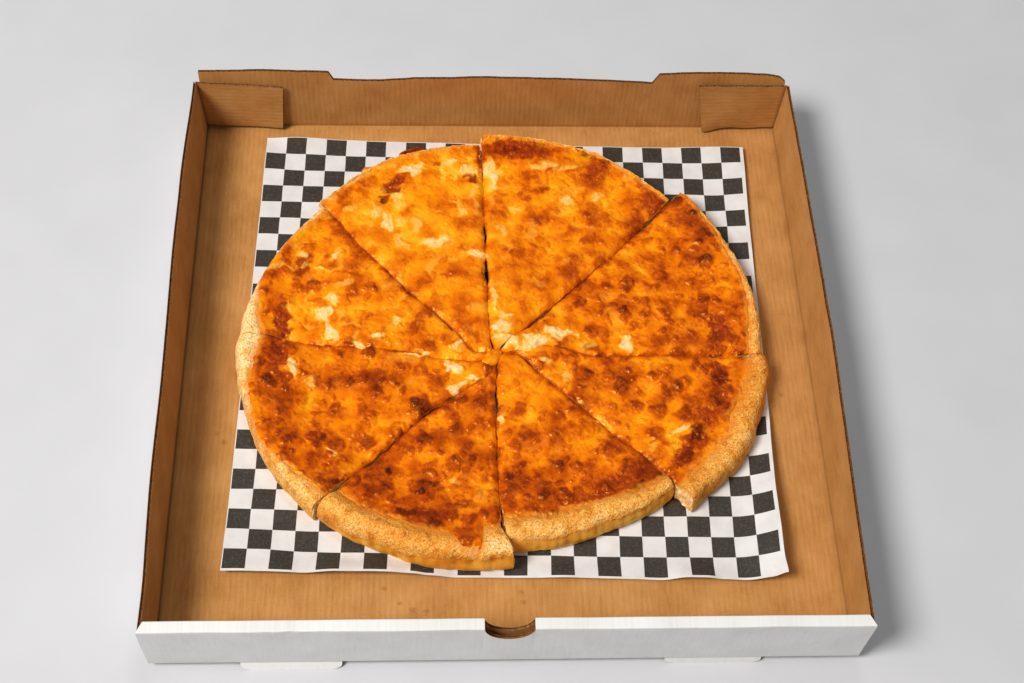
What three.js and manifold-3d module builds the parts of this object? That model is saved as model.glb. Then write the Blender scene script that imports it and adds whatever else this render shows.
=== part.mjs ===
// A round pizza cut into eight slices, lying on a sheet of checkered deli paper in a folded corrugated tray.
// Millimetres. +X is the tray's right, +Y its back wall, +Z up. The origin is the bottom centre of the whole.
// Inside the file everything is laid out on the tray: z = 0 is the underside of its bottom, and the turned
// group at the end then stands the tray on the two lock tabs that stick out below its front wall.
import * as THREE from 'three';
import { mergeVertices } from 'three/addons/utils/BufferGeometryUtils.js';
import Module from 'manifold-3d';

// ---- Tray ----
const board = 1.8;              // thickness of the corrugated board
const foldStep = 0.3;           // the folds are stepped in by this much, as a crease rounds them
const halfWidth = 184;          // from the middle to a side wall's inner face, at the bottom
const backInner = 184;          // y of the back wall's inner face
const frontOuter = -184;        // y of the front wall's outer face, at the bottom
const wallTop = 43.4;           // height of the side walls
const wallEnd = 183.2;          // y where the side walls stop, a slit short of the back wall
const wallColumns = 12;         // steps along a side wall
const wallRows = 3;             // steps up a side wall
// How far each side wall's top edge leans out, as [y, lean].
const leftLean = [[-180, 0.7], [-68, 2.5], [98, 4.6], [184, 2.6]];
const rightLean = [[-180, 0.4], [3, 3.7], [138, 2.7], [184, 1.8]];

// Outline of the back wall's top edge as [x, z]: a low wavy middle between two raised shoulders.
const backTop = [
  [-184.6, 51.4], [-146, 53], [-110, 52], [-104, 51.4], [-101, 45], [-72, 44.1], [-50, 46.4], [-3, 47.3],
  [41, 46.1], [79, 44.6], [100, 43.2], [104, 51.7], [142, 52.9], [172, 51.6], [181, 49.4], [184.6, 45.5],
];

// The corner flaps are the side walls' ends, folded in ahead of the back wall.
const flapLift = 2.6;           // a flap's lower edge over the tray's bottom
const flapFoot = 182;           // y of a flap's front face at the corner
const leftFlap = { foot: 48.5, top: 51.3, high: 41.6, standOff: 2.4 };
const rightFlap = { foot: 47.6, top: 54.3, high: 44.2, standOff: 1.6 };

// The front wall is rolled over into two panels with a flat top.
const frontHalf = 187;          // half the front wall's length
const frontTop = 44.6;
const frontLean = 1.8;          // the outer panel leans out by this much at its top
const rollWidth = 6.5;          // over both panels
const rollEdge = 0.5;           // bevel along the flat top's two edges
const innerLean = 0.45;         // the inner panel leans back by this much at its foot
const mitre = 3.2;              // the flat top's ends are cut back by this much
const mitreDepth = 2.52;        // over this height
const notchRadius = 12.8;       // thumb notch in the top edge
const notchSides = 32;

// Lock tabs: they go on downwards from the front wall, and the tray's front rests on them.
const tabDrop = 4;
const tabThick = 1.2;           // pressed thinner than the board
const tabRound = 5;             // how much the tabs' lower corners are rounded
const tabs = [
  { left: -139.5, right: -86.5, splay: 2.6 },
  { left: 83.5, right: 135, splay: 1.3 },
];

// ---- Paper ----
const paperSide = 305;
const paperThick = 0.35;
const paperGap = 0.3;           // clear of the tray and of the pizza
const paperCentre = [3.5, 15.3];
const paperTurn = -1.45;        // degrees, anticlockwise from above
const paperCells = 20;
const paperFlat = 162;          // the paper is flat this far from its middle, under the pizza
const paperReach = 212;         // and has its full lift this far out
const paperBow = 0.65;          // how much of the lift comes late, towards the very edge
// Lift of the paper's edge as [bearing from its middle in degrees, millimetres].
const paperLift = [
  [-180, 0.3], [-148, 0], [-138, 3], [-131, 5.2], [-124, 3], [-100, 0.9], [-82, 0.6], [-70, 2.2], [-61, 4.4],
  [-54, 3.2], [-45, 3.6], [-38, 5.8], [-28, 2.6], [0, 1.5], [40, 2.8], [90, 2], [122, 2.4], [130, 3],
  [135, 1], [139, 1.8], [146, 0.8], [160, 0.3], [180, 0.3],
];

const curlWidth = 7;            // the front edge curls up over this width, its last row of cells
// How far the front edge curls, as [across the sheet, millimetres].
const frontCurl = [
  [-152, 0.4], [-137, 0], [-112, 2.2], [-90, 6], [-64, 6], [-50, 3.6], [-42, 1.4], [-33, 0], [1, 0.6],
  [16, 1.2], [33, 2.4], [71, 1.2], [86, 0.2], [99, 3.8], [109, 3.6], [120, 1], [134, 0], [154, 6.5],
];
// The right edge curls up near its front end, in its last row of cells, as [along the sheet, millimetres].
const rightCurl = [[-153, 4], [-120, 7], [-90, 7], [-68, 4], [-52, 0], [153, 0]];

// ---- Pizza ----
const pivot = [-2.3, -0.8];     // where the cuts cross
const acrossSteps = 10;         // steps across a slice
// Radii of the rows along a slice, alike on all slices so that the two sides of a cut have the same corners.
const rowRadii = [12, 21, 30, 45, 60, 80, 100, 112, 124, 138];
const rowGap = 2;               // least gap between such a row and a slice's tip or rim
const cheeseThick = 3.7;
const cheeseEdge = 0.8;         // the cheese thins to this at the rim
const shoreWidth = 32;          // over this width before the rim the cheese rises to meet it
const thinWidth = 20;           // and over this width it thins
const cheeseLevel = 12.8;       // top of the cheese over the tray's bottom board
const layerGap = 0.3;           // between the dough and the cheese
const rimStart = 3.6;           // the cheese ends this far below the rim's crest
// Gentle swells of the whole top, as wave height, wave length, bearing of the wave in degrees, phase.
const swells = [
  { high: 0.55, long: 74, bearing: 25, phase: 0.4 },
  { high: 0.4, long: 47, bearing: 118, phase: 2.1 },
  { high: 0.3, long: 31, bearing: 71, phase: 4.4 },
];
// The rim's section: [part of the rim's width, top as part of the crest's height, underside likewise].
const rimSection = [[0.2, 0.86, 0], [0.45, 1, 0], [0.7, 0.96, 0], [0.88, 0.8, 0.03], [1, 0.5, 0.24]];

// The cuts: bearing in degrees, gap, and sideways offset in mm at each of the swayRadii.
const swayRadii = [12, 30, 60, 100, 150];
const cuts = {
  a: { bearing: 92.6, gap: 1.2, sway: [2.5, 2.4, 1.5, 0.5, -1] },
  b: { bearing: 45, gap: 1, sway: [1.9, 0.1, -0.2, -0.6, 1.1] },
  c: { bearing: -1.1, gap: 0.8, sway: [3.1, 7.2, 0.4, 1.1, -0.6] },
  d: { bearing: -40.4, gap: 1, sway: [9.6, 6.7, 3.6, 1.5, -6.5] },
  e: { bearing: -88.9, gap: 2, sway: [0.3, -1, -1.8, -1.8, 3] },
  f: { bearing: -135.6, gap: 1, sway: [6.8, 3.8, 0.7, 0.9, 2] },
  g: { bearing: -184.3, gap: 0.8, sway: [5.5, 4.4, 1.2, 0.4, -1.9] },
  h: { bearing: -224.9, gap: 0.8, sway: [7.3, 4.4, 4, 1.8, -2.7] },
};
// The slices, clockwise from the back. Each runs anticlockwise from one cut to the next, starts at its tip's
// radius, and gives its outer radius, the width of its bare rim and the height of its crest at the start, the
// middle and the end.
const slices = [
  { from: 'b', to: 'a', tip: 4, reach: [159, 165, 166], rim: [3, 3, 3], crest: [15, 15, 15] },
  { from: 'c', to: 'b', tip: 5, reach: [157, 163, 169], rim: [10, 7, 4], crest: [17, 16, 15] },
  { from: 'd', to: 'c', tip: 16, reach: [146, 156, 160], rim: [14.5, 17.5, 15], crest: [18, 18, 18] },
  { from: 'e', to: 'd', tip: 3, reach: [123.5, 126, 132.5], rim: [17, 18, 11], crest: [18, 17, 17] },
  { from: 'f', to: 'e', tip: 12, reach: [142.5, 138.2, 133.5], rim: [16.5, 17, 21], crest: [20, 22, 21] },
  { from: 'g', to: 'f', tip: 9, reach: [151, 147.5, 145], rim: [16.5, 9, 12], crest: [17, 18, 19] },
  { from: 'h', to: 'g', tip: 9, reach: [150, 149.8, 150.6], rim: [8, 8, 14], crest: [15, 16, 17] },
  { from: 'a', to: 'h', tip: 3, reach: [159, 160, 154], rim: [3, 3, 4], crest: [14, 14, 15] },
];

const radians = THREE.MathUtils.degToRad;
const wasm = await Module();
wasm.setup();

// Smooth value at x through [x, value] stations in rising order.
function through(stations, x) {
  const last = stations.length - 1;
  if (x <= stations[0][0]) return stations[0][1];
  if (x >= stations[last][0]) return stations[last][1];
  const k = stations.findIndex(station => station[0] > x);
  const [x0, low] = stations[k - 1];
  const [x1, high] = stations[k];
  return low + (high - low) * THREE.MathUtils.smoothstep(x, x0, x1);
}

// The closed body between an upper and a lower face, given point by point on one grid, upper[i][j]. Rows i
// and columns j run so that i x j points out of the upper face.
function closedBody(upper, lower) {
  const rows = upper.length;
  const columns = upper[0].length;
  const below = rows * columns;
  const triangles = [];
  const at = (i, j) => i * columns + j;
  const quad = (a, b, c, d) => triangles.push(a, b, c, a, c, d);
  for (let i = 0; i + 1 < rows; i++) {
    for (let j = 0; j + 1 < columns; j++) {
      const corners = [at(i, j), at(i + 1, j), at(i + 1, j + 1), at(i, j + 1)];
      quad(...corners);
      const [a, b, c, d] = corners.map(corner => corner + below);
      triangles.push(a, c, b, a, d, c);
    }
  }
  const rim = [];
  for (let i = 0; i + 1 < rows; i++) rim.push(at(i, 0));
  for (let j = 0; j + 1 < columns; j++) rim.push(at(rows - 1, j));
  for (let i = rows - 1; i > 0; i--) rim.push(at(i, columns - 1));
  for (let j = columns - 1; j > 0; j--) rim.push(at(0, j));
  rim.forEach((a, k) => {
    const b = rim[(k + 1) % rim.length];
    quad(a, a + below, b + below, b);
  });
  const geometry = new THREE.BufferGeometry();
  const points = [...upper.flat(), ...lower.flat()].flat();
  geometry.setAttribute('position', new THREE.Float32BufferAttribute(points, 3));
  geometry.setIndex(triangles);
  return geometry;
}

function grid(rows, columns, point) {
  return Array.from({ length: rows + 1 }, (_, i) =>
    Array.from({ length: columns + 1 }, (_, j) => point(i / rows, j / columns, i, j)));
}

function solidOf(geometry) {
  const bare = geometry.clone();
  bare.deleteAttribute('normal');
  bare.deleteAttribute('uv');
  const merged = mergeVertices(bare);
  const vertProperties = new Float32Array(merged.attributes.position.array);
  const triVerts = new Uint32Array(merged.index.array);
  return new wasm.Manifold(new wasm.Mesh({ numProp: 3, vertProperties, triVerts }));
}

function geometryOf(solid) {
  const mesh = solid.getMesh();
  const geometry = new THREE.BufferGeometry();
  geometry.setAttribute('position', new THREE.Float32BufferAttribute(mesh.vertProperties, 3));
  geometry.setIndex(new THREE.BufferAttribute(new Uint32Array(mesh.triVerts), 1));
  return geometry;
}

// An outline of [across, up] points as a plate that stands upright: it faces -Y, with its back face at y = 0.
function uprightPlate(outline, thick) {
  const shape = new THREE.Shape(outline.map(([x, z]) => new THREE.Vector2(x, z)));
  const plate = new THREE.ExtrudeGeometry(shape, { depth: thick, bevelEnabled: false });
  return plate.rotateX(Math.PI / 2);
}

// ---- Tray ----
function trayBottom() {
  const width = 2 * (halfWidth + board - foldStep);
  const depth = backInner + board - frontOuter - 2 * foldStep;
  const middle = (backInner + board + frontOuter) / 2;
  return new THREE.BoxGeometry(width, depth, board).translate(0, middle, board / 2);
}

// A side wall: it leans out, most of all near its middle. side is -1 on the left and 1 on the right.
function sideWall(side, lean) {
  const face = offset => grid(wallColumns, wallRows, (u, v) => {
    const z = THREE.MathUtils.lerp(foldStep, wallTop, v);
    const front = frontOuter + board / 2 - frontLean * z / frontTop;
    const y = THREE.MathUtils.lerp(front, wallEnd, u);
    const x = halfWidth + offset + through(lean, y) * v;
    return [side * x, y, z];
  });
  return side > 0 ? closedBody(face(board), face(0)) : closedBody(face(0), face(board));
}

function backWall() {
  const ends = [[backTop[0][0], foldStep], [backTop[backTop.length - 1][0], foldStep]];
  const outline = [ends[0], ends[1], ...backTop.toReversed()];
  return uprightPlate(outline, board).translate(0, backInner + board, 0);
}

// A corner flap: it starts inside the side wall and swings forward of the back wall towards its free end.
function cornerFlap(side, flap) {
  const low = board + flapLift;
  const root = board / 2;
  const outline = [[root, low], [-flap.foot, low], [-flap.top, flap.high], [root, wallTop - foldStep]];
  const plate = uprightPlate(outline, board);
  plate.rotateZ(Math.atan2(flap.standOff, flap.top));
  if (side < 0) mirrored(plate);
  return plate.translate(side * halfWidth, flapFoot + board, 0);
}

// Mirrors a body in X, and winds its faces the other way so that they still face out.
function mirrored(geometry) {
  geometry.scale(-1, 1, 1);
  const position = geometry.attributes.position;
  for (let k = 0; k < position.count; k += 3) {
    for (const axis of ['X', 'Y', 'Z']) {
      const kept = position[`get${axis}`](k + 1);
      position[`set${axis}`](k + 1, position[`get${axis}`](k + 2));
      position[`set${axis}`](k + 2, kept);
    }
  }
}

// The front wall's section, an upside-down U of board, drawn as [y, z] and run along X.
function frontRoll() {
  const outer = frontOuter - frontLean;
  const inner = outer + rollWidth;
  const foot = inner + innerLean;
  const under = frontTop - board;
  const edge = frontTop - rollEdge;
  const section = [
    [frontOuter, foldStep], [frontOuter + board, foldStep], [outer + board, under], [inner - board, under],
    [foot - board, board / 2], [foot, board / 2], [inner, edge], [inner - rollEdge, frontTop],
    [outer + rollEdge, frontTop], [outer, edge],
  ];
  const shape = new THREE.Shape(section.map(([y, z]) => new THREE.Vector2(y, z)));
  const roll = new THREE.ExtrudeGeometry(shape, { depth: 2 * frontHalf, bevelEnabled: false });
  roll.rotateX(Math.PI / 2);
  roll.rotateZ(Math.PI / 2);
  return roll.translate(-frontHalf, 0, 0);
}

function thumbNotch() {
  const cutter = new THREE.CylinderGeometry(notchRadius, notchRadius, 6 * rollWidth, notchSides);
  return cutter.translate(0, frontOuter, frontTop + foldStep);
}

// A wedge that mitres one end of the front wall's flat top.
function mitreCutter(side) {
  const outer = frontOuter - frontLean;
  const outline = [[frontHalf, outer], [frontHalf + mitre, outer], [frontHalf + mitre, outer + 2 * rollWidth],
    [frontHalf - mitre, outer + rollWidth]];
  const points = outline.map(([x, y]) => new THREE.Vector2(side * x, y));
  const shape = new THREE.Shape(side > 0 ? points : points.reverse());
  const cutter = new THREE.ExtrudeGeometry(shape, { depth: 2 * board, bevelEnabled: false });
  return cutter.translate(0, 0, frontTop - mitreDepth);
}

// A lock tab: it hangs below the front wall's outer panel and is splayed forward by what it carries.
function lockTab({ left, right, splay }) {
  const root = (board - tabThick) / 2;
  const face = offset => grid(3, 6, (u, v) => {
    const z = THREE.MathUtils.lerp(board, -tabDrop, u);
    const fall = Math.max(0, -z) / tabDrop;
    const inset = tabRound * fall * fall * (1 - 2 * v);
    const x = THREE.MathUtils.lerp(left, right, v) + inset;
    return [x, frontOuter - splay * fall + offset, z];
  });
  return closedBody(face(root), face(root + tabThick));
}

function tray() {
  const joined = [
    sideWall(-1, leftLean), sideWall(1, rightLean), backWall(), cornerFlap(-1, leftFlap),
    cornerFlap(1, rightFlap), ...tabs.map(lockTab),
  ];
  const folded = joined.reduce((whole, geometry) => whole.add(solidOf(geometry)), solidOf(trayBottom()));
  const mitred = solidOf(frontRoll()).subtract(solidOf(mitreCutter(-1))).subtract(solidOf(mitreCutter(1)));
  return geometryOf(folded.add(mitred).subtract(solidOf(thumbNotch())));
}

// ---- Paper ----
function paper() {
  const turn = radians(paperTurn);
  const face = lift => grid(paperCells, paperCells, (u, v) => {
    const x = (u - 0.5) * paperSide;
    const y = v === 1 / paperCells ? curlWidth - paperSide / 2 : (v - 0.5) * paperSide;
    const bearing = THREE.MathUtils.radToDeg(Math.atan2(y, x));
    const out = THREE.MathUtils.smoothstep(Math.hypot(x, y), paperFlat, paperReach);
    const edge = THREE.MathUtils.lerp(out, out * out, paperBow);
    const curl = Math.max(v === 0 ? through(frontCurl, x) : 0, u === 1 ? through(rightCurl, y) : 0);
    return [
      paperCentre[0] + x * Math.cos(turn) - y * Math.sin(turn),
      paperCentre[1] + x * Math.sin(turn) + y * Math.cos(turn),
      board + paperGap + through(paperLift, bearing) * edge + curl + lift,
    ];
  });
  return closedBody(face(paperThick), face(0));
}

// ---- Pizza ----
const doughFoot = board + paperGap + paperThick + paperGap;

function atThirds([start, middle, end], s) {
  return through([[0, start], [0.5, middle], [1, end]], s);
}

// Bearing of a slice's side at a radius: the cut's own, half a gap to one side of it. Nearer the pivot than
// the first of the swayRadii the cut runs straight to it.
function sideBearing(cut, radius, side) {
  const stations = swayRadii.map((r, k) => [r, cut.sway[k]]);
  const sway = through(stations, radius) / Math.max(radius, swayRadii[0]);
  return radians(cut.bearing) + sway + side * cut.gap / 2 / radius;
}

function swell(x, y) {
  return swells.reduce((sum, { high, long, bearing, phase }) => {
    const along = x * Math.cos(radians(bearing)) + y * Math.sin(radians(bearing));
    return sum + high * Math.sin(2 * Math.PI * along / long + phase);
  }, 0);
}

// A place on a slice: s is 0 at its first cut and 1 at its second.
function placeOn(slice, s, radius) {
  const first = sideBearing(cuts[slice.from], radius, 1);
  const second = sideBearing(cuts[slice.to], radius, -1);
  const bearing = THREE.MathUtils.lerp(first, second > first ? second : second + 2 * Math.PI, s);
  return [pivot[0] + radius * Math.cos(bearing), pivot[1] + radius * Math.sin(bearing)];
}

// Radii of a slice's rows up to the end of its cheese, at one place across it.
function fillingRadii(slice, s) {
  const edgeAt = across => atThirds(slice.reach, across) - atThirds(slice.rim, across);
  const nearest = Math.min(edgeAt(0), edgeAt(0.5), edgeAt(1));
  const rows = rowRadii.filter(radius => radius > slice.tip + rowGap && radius < nearest - rowGap);
  return [slice.tip, ...rows, edgeAt(s)];
}

// One station of a slice: where it is, the top of the cheese there and how thick the cheese is.
function fillingAt(slice, s, row) {
  const radii = fillingRadii(slice, s);
  const radius = radii[row];
  const edge = radii[radii.length - 1];
  const [x, y] = placeOn(slice, s, radius);
  const open = cheeseLevel + swell(x, y);
  const shore = THREE.MathUtils.smoothstep(radius, edge - shoreWidth, edge);
  const thin = THREE.MathUtils.smoothstep(radius, edge - thinWidth, edge);
  const top = board + THREE.MathUtils.lerp(open, atThirds(slice.crest, s) - rimStart, shore);
  return { x, y, top, thick: THREE.MathUtils.lerp(cheeseThick, cheeseEdge, thin) };
}

function dough(slice) {
  const filling = fillingRadii(slice, 0).length;
  const face = upper => grid(filling + rimSection.length - 1, acrossSteps, (_, s, i) => {
    if (i < filling) {
      const { x, y, top, thick } = fillingAt(slice, s, i);
      return [x, y, upper ? top - thick - layerGap : doughFoot];
    }
    const [part, over, under] = rimSection[i - filling];
    const radius = atThirds(slice.reach, s) - (1 - part) * atThirds(slice.rim, s);
    const crest = atThirds(slice.crest, s);
    const height = upper ? board + crest * over : doughFoot + crest * under;
    return [...placeOn(slice, s, radius), height];
  });
  return closedBody(face(true), face(false));
}

function cheese(slice) {
  const rows = fillingRadii(slice, 0).length - 1;
  const face = upper => grid(rows, acrossSteps, (_, s, i) => {
    const { x, y, top, thick } = fillingAt(slice, s, i);
    return [x, y, upper ? top : top - thick];
  });
  return closedBody(face(true), face(false));
}

// ---- The whole ----
const finishes = {
  board: new THREE.MeshStandardMaterial({ color: 0xb9854f, roughness: 0.85, metalness: 0 }),
  paper: new THREE.MeshStandardMaterial({ color: 0xe6e2de, roughness: 0.7, metalness: 0 }),
  crust: new THREE.MeshStandardMaterial({ color: 0xd9a05a, roughness: 0.75, metalness: 0 }),
  cheese: new THREE.MeshStandardMaterial({ color: 0xd9791c, roughness: 0.4, metalness: 0 }),
};

function named(name, geometry, material) {
  const mesh = new THREE.Mesh(geometry, material);
  mesh.name = name;
  return mesh;
}

const laidOut = new THREE.Group();
laidOut.add(named('tray', tray(), finishes.board));
laidOut.add(named('paper', paper(), finishes.paper));
slices.forEach((slice, k) => {
  laidOut.add(named(`dough_${k + 1}`, dough(slice), finishes.crust));
  laidOut.add(named(`cheese_${k + 1}`, cheese(slice), finishes.cheese));
});

// Front up on the tabs, then the bottom centre of the whole to the origin.
const restSpan = backInner + board - (frontOuter - Math.max(...tabs.map(tab => tab.splay)));
laidOut.rotation.x = -Math.atan2(tabDrop, restSpan);
const group = new THREE.Group();
group.add(laidOut);
group.updateMatrixWorld(true);
const bounds = new THREE.Box3().setFromObject(group, true);
const middle = bounds.getCenter(new THREE.Vector3());
laidOut.position.set(-middle.x, -middle.y, -bounds.min.z);

export default group;
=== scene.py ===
"""A sliced cheese pizza on checkered deli paper in its open tray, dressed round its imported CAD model.

Lengths are millimetres in the tray's own frame, as in the CAD source: z = 0 is the underside of its bottom.
The tray rests on two lock tabs below its front wall, so standing() tilts every piece and moves it there.

noise() and its like end in a seed, and every use has its own. A mark is a number at each point of a mesh,
which the materials read as an attribute.
"""
import math

import bpy
import numpy as np
from mathutils import Euler, Matrix, Vector


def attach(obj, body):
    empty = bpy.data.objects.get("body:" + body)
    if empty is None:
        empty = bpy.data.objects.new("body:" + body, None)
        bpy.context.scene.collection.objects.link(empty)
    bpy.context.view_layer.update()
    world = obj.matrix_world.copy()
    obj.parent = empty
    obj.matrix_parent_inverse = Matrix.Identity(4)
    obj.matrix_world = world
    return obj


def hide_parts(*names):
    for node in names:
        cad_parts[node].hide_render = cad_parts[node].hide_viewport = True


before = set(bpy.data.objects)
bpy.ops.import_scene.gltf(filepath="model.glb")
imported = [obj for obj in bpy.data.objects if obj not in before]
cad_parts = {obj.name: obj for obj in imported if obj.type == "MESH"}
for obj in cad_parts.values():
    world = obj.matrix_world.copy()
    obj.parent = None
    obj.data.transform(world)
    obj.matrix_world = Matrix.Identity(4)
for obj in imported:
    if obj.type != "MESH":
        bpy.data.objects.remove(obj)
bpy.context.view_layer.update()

MM = 0.001

# ---- Tray ----
BOARD = 1.8                     # thickness of the corrugated board
LINER = 0.14                    # a liner's part of that thickness
FLUTE = 3.2                     # pitch of the corrugation
GROOVE = 1.6                    # how deep one sees into a cut edge
HALF_WIDTH = 184.0              # from the middle to a side wall's inner face, at the bottom
BACK = 184.0                    # y of the back wall's inner face
FRONT = -184.0                  # y of the front wall's outer face, at the bottom
WALL_TOP = 43.4                 # height of the side walls
WALL_END = 183.2                # y where the side walls stop, a slit short of the back wall
# How far each side wall's top edge leans out, as (y, lean).
LEFT_LEAN = [(-180, 0.7), (-68, 2.5), (98, 4.6), (184, 2.6)]
RIGHT_LEAN = [(-180, 0.4), (3, 3.7), (138, 2.7), (184, 1.8)]
# The back wall's top edge, as (x, z).
BACK_TOP = [
    (-184.6, 51.4), (-146, 53), (-110, 52), (-104, 51.4), (-101, 45), (-72, 44.1), (-50, 46.4), (-3, 47.3),
    (41, 46.1), (79, 44.6), (100, 43.2), (104, 51.7), (142, 52.9), (172, 51.6), (181, 49.4), (184.6, 45.5),
]
FLAP_LIFT = 2.6                 # a corner flap's lower edge over the tray's bottom
FLAP_FOOT = 182.0               # y of a flap's front face at the corner
LEFT_FLAP = {"side": -1, "foot": 48.5, "top": 51.3, "high": 41.6, "stand_off": 2.4}
RIGHT_FLAP = {"side": 1, "foot": 47.6, "top": 54.3, "high": 44.2, "stand_off": 1.6}
FRONT_HALF = 187.0              # half the front wall's length
FRONT_TOP = 44.6
FRONT_LEAN = 1.8                # the outer panel leans out by this much at its top
ROLL_WIDTH = 6.5                # over both panels
INNER_LEAN = 0.45               # the inner panel leans back by this much at its foot
ROLL_START = -178.9             # y where the outer panel's sheet leaves the bottom
MITRE = 3.2                     # the flat top's ends are cut back by this much
MITRE_LENGTH = 6.0              # over this length
NOTCH = 12.8                    # radius of the thumb notch
TAB_DROP = 4.0                  # how far the lock tabs hang below the front wall
TAB_THICK = 1.2                 # pressed thinner than the board
TAB_ROUND = 5.0
TABS = [{"left": -139.5, "right": -86.5, "splay": 2.6}, {"left": 83.5, "right": 135.0, "splay": 1.3}]

# Grease on the bottom, as (x, y, size).
GREASE = [
    (-160.5, -46.5, 2.5), (-156, -52, 3), (-64, -143.5, 2.5), (-55.5, -152, 2.5), (-48, -156, 3.5),
    (-41.5, -157, 3), (10, -146, 2), (11, -152, 2.5), (166, -22, 2.5),
]
GREASE_SHIFT = 224.0            # the trough's way across is counted from the left wall's top

# ---- Paper ----
PAPER_SIDE = 305.0
PAPER_THICK = 0.35
PAPER_GAP = 0.3                 # clear of the tray and of the pizza
PAPER_CENTRE = (3.5, 15.3)
PAPER_TURN = -1.45              # degrees, anticlockwise from above
PAPER_FLAT = 162.0              # the paper is flat this far from its middle, under the pizza
PAPER_REACH = 212.0             # and has its full lift this far out
PAPER_BOW = 0.65                # how much of the lift comes late, towards the very edge
# Lift of the paper's edge, as (bearing from its middle in degrees, lift).
PAPER_LIFT = [
    (-180, 0.3), (-148, 0), (-138, 3), (-131, 5.2), (-124, 3), (-100, 0.9), (-82, 0.6), (-70, 2.2),
    (-61, 4.4), (-54, 3.2), (-45, 3.6), (-38, 5.8), (-28, 2.6), (0, 1.5), (40, 2.8), (90, 2), (122, 2.4),
    (130, 3), (135, 1), (139, 1.8), (146, 0.8), (160, 0.3), (180, 0.3),
]
CHECK = 12.7                    # side of one check
PRINT = {"across": (-152.0, 152.1), "along": (-152.2, 152.1)}    # how far the print reaches
MARGIN_FRONT = 1.0              # white edge that the print leaves free
MARGIN_RIGHT = 1.8
FRONT_CURL_WIDTH = 15.0
# How far the front edge curls up, as (place along it, lift).
FRONT_CURL = [
    (-152, 0.4), (-137, 0), (-112, 2.2), (-90, 6), (-64, 6.6), (-50, 5), (-40, 2.5), (-26, 0), (1, 0.6),
    (16, 1.2), (33, 2.4), (71, 1.2), (86, 0.2), (99, 3.8), (109, 3.6), (120, 1), (134, -1), (146, 0.8),
    (154, 5),
]
RIGHT_CURL_WIDTH = 27.0
# How far the right edge curls up, as (place along it, lift).
RIGHT_CURL = [(-153, 5), (-135, 8), (-100, 9), (-75, 7), (-45, 3.5), (-20, 1.5), (40, 2), (100, 2), (152, 0)]

# ---- Pizza ----
PIVOT = (-2.3, -0.8)            # where the cuts cross
FOOT = BOARD + PAPER_GAP + PAPER_THICK + PAPER_GAP
TIP = 2.6                       # radius at which the slices' tips end
CHEESE_THICK = 3.7
CHEESE_EDGE = 0.8               # the cheese thins to this at the rim
SHORE = 32.0                    # over this width before the rim the cheese rises to meet it
THIN = 20.0                     # and over this width it thins
CHEESE_LEVEL = 12.8             # top of the cheese over the tray's bottom board
LAYER_GAP = 0.3                 # between the dough and the cheese
RIM_START = 3.6                 # from the crest down to the cheese, where the bare rim is wide
RIM_LOW = 0.9                   # and where it is narrow
# Gentle swells of the whole top, as (height, length, bearing in degrees, phase).
SWELLS = [(0.55, 74, 25, 0.4), (0.4, 47, 118, 2.1), (0.3, 31, 71, 4.4)]
# The crust's section from the cheese over the crest to where it meets the paper: part of the rim's width
# outwards, part of the crest's height upwards.
SECTION = [
    (0, 0.74), (0.2, 0.87), (0.45, 1), (0.7, 0.965), (0.88, 0.81), (1, 0.44), (0.975, 0.17), (0.91, 0.03),
    (0.84, 0),
]
RIM_RADIUS = 150.0              # a bearing times this is the way along the rim
SECTION_LENGTH = 45.0           # the way over the crust's section, counted from 0 to this
SLICE_ARC = 120.0               # the way along a slice's rim, counted from 0 to this
CHEESE_ARC = 110.0              # about a slice's width where its cheese ends
# The cuts: bearing in degrees, gap, sideways offset at each of SWAY_RADII, and gape, how much wider than its
# gap a cut is, as (radius, millimetres).
SWAY_RADII = [12, 30, 60, 100, 150]
CUTS = {
    "a": {"bearing": 92.6, "gap": 1.2, "sway": [2.5, 2.4, 1.5, 0.5, -1], "gape": [
        (0, 0), (44, -0.6), (58, 1.6), (66, 1.2), (74, -0.8), (92, 1), (104, -0.9), (140, -0.4), (154, 0.8),
    ]},
    "b": {"bearing": 45, "gap": 1, "sway": [1.9, 0.1, -0.2, -0.6, 1.1], "gape": [
        (0, -0.4), (24, 0), (32, 1.5), (43, 1.7), (52, -0.3), (83, 0.5), (100, -0.5), (143, 0.9), (170, 0.6),
    ]},
    "c": {"bearing": -1.1, "gap": 0.8, "sway": [3.1, 7.2, 0.4, 1.1, -0.6], "gape": [
        (0, -0.8), (30, -0.6), (60, 0), (110, -0.2), (150, 0.4),
    ]},
    "d": {"bearing": -40.4, "gap": 1, "sway": [9.6, 6.7, 3.6, 1.5, -6.5], "gape": [
        (0, -0.7), (20, 0.4), (70, 0.2), (100, -0.6), (130, 0.6),
    ]},
    "e": {"bearing": -88.9, "gap": 1.6, "sway": [0.3, -1, -1.8, -1.8, 3], "gape": [
        (0, -0.5), (20, -0.4), (28, 0.6), (40, -0.2), (90, -0.7), (110, 0.2), (122, 0.4), (130, 0),
    ]},
    "f": {"bearing": -135.6, "gap": 1, "sway": [6.8, 3.8, 0.7, 0.9, 2], "gape": [
        (0, -0.6), (40, -0.5), (54, 1.2), (66, -0.4), (100, 1.2), (110, -0.2), (124, 1.2), (140, 0.2),
    ]},
    "g": {"bearing": -184.3, "gap": 0.8, "sway": [5.5, 4.4, 1.2, 0.4, -1.9], "gape": [
        (0, -0.6), (40, 0), (60, 0.7), (70, -0.6), (150, -0.6),
    ]},
    "h": {"bearing": -224.9, "gap": 0.8, "sway": [7.3, 4.4, 4, 1.8, -2.7], "gape": [
        (0, -0.6), (12, 0.4), (40, 0.7), (52, -0.2), (74, 0.5), (90, -0.5), (140, 0.1),
    ]},
}
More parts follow.
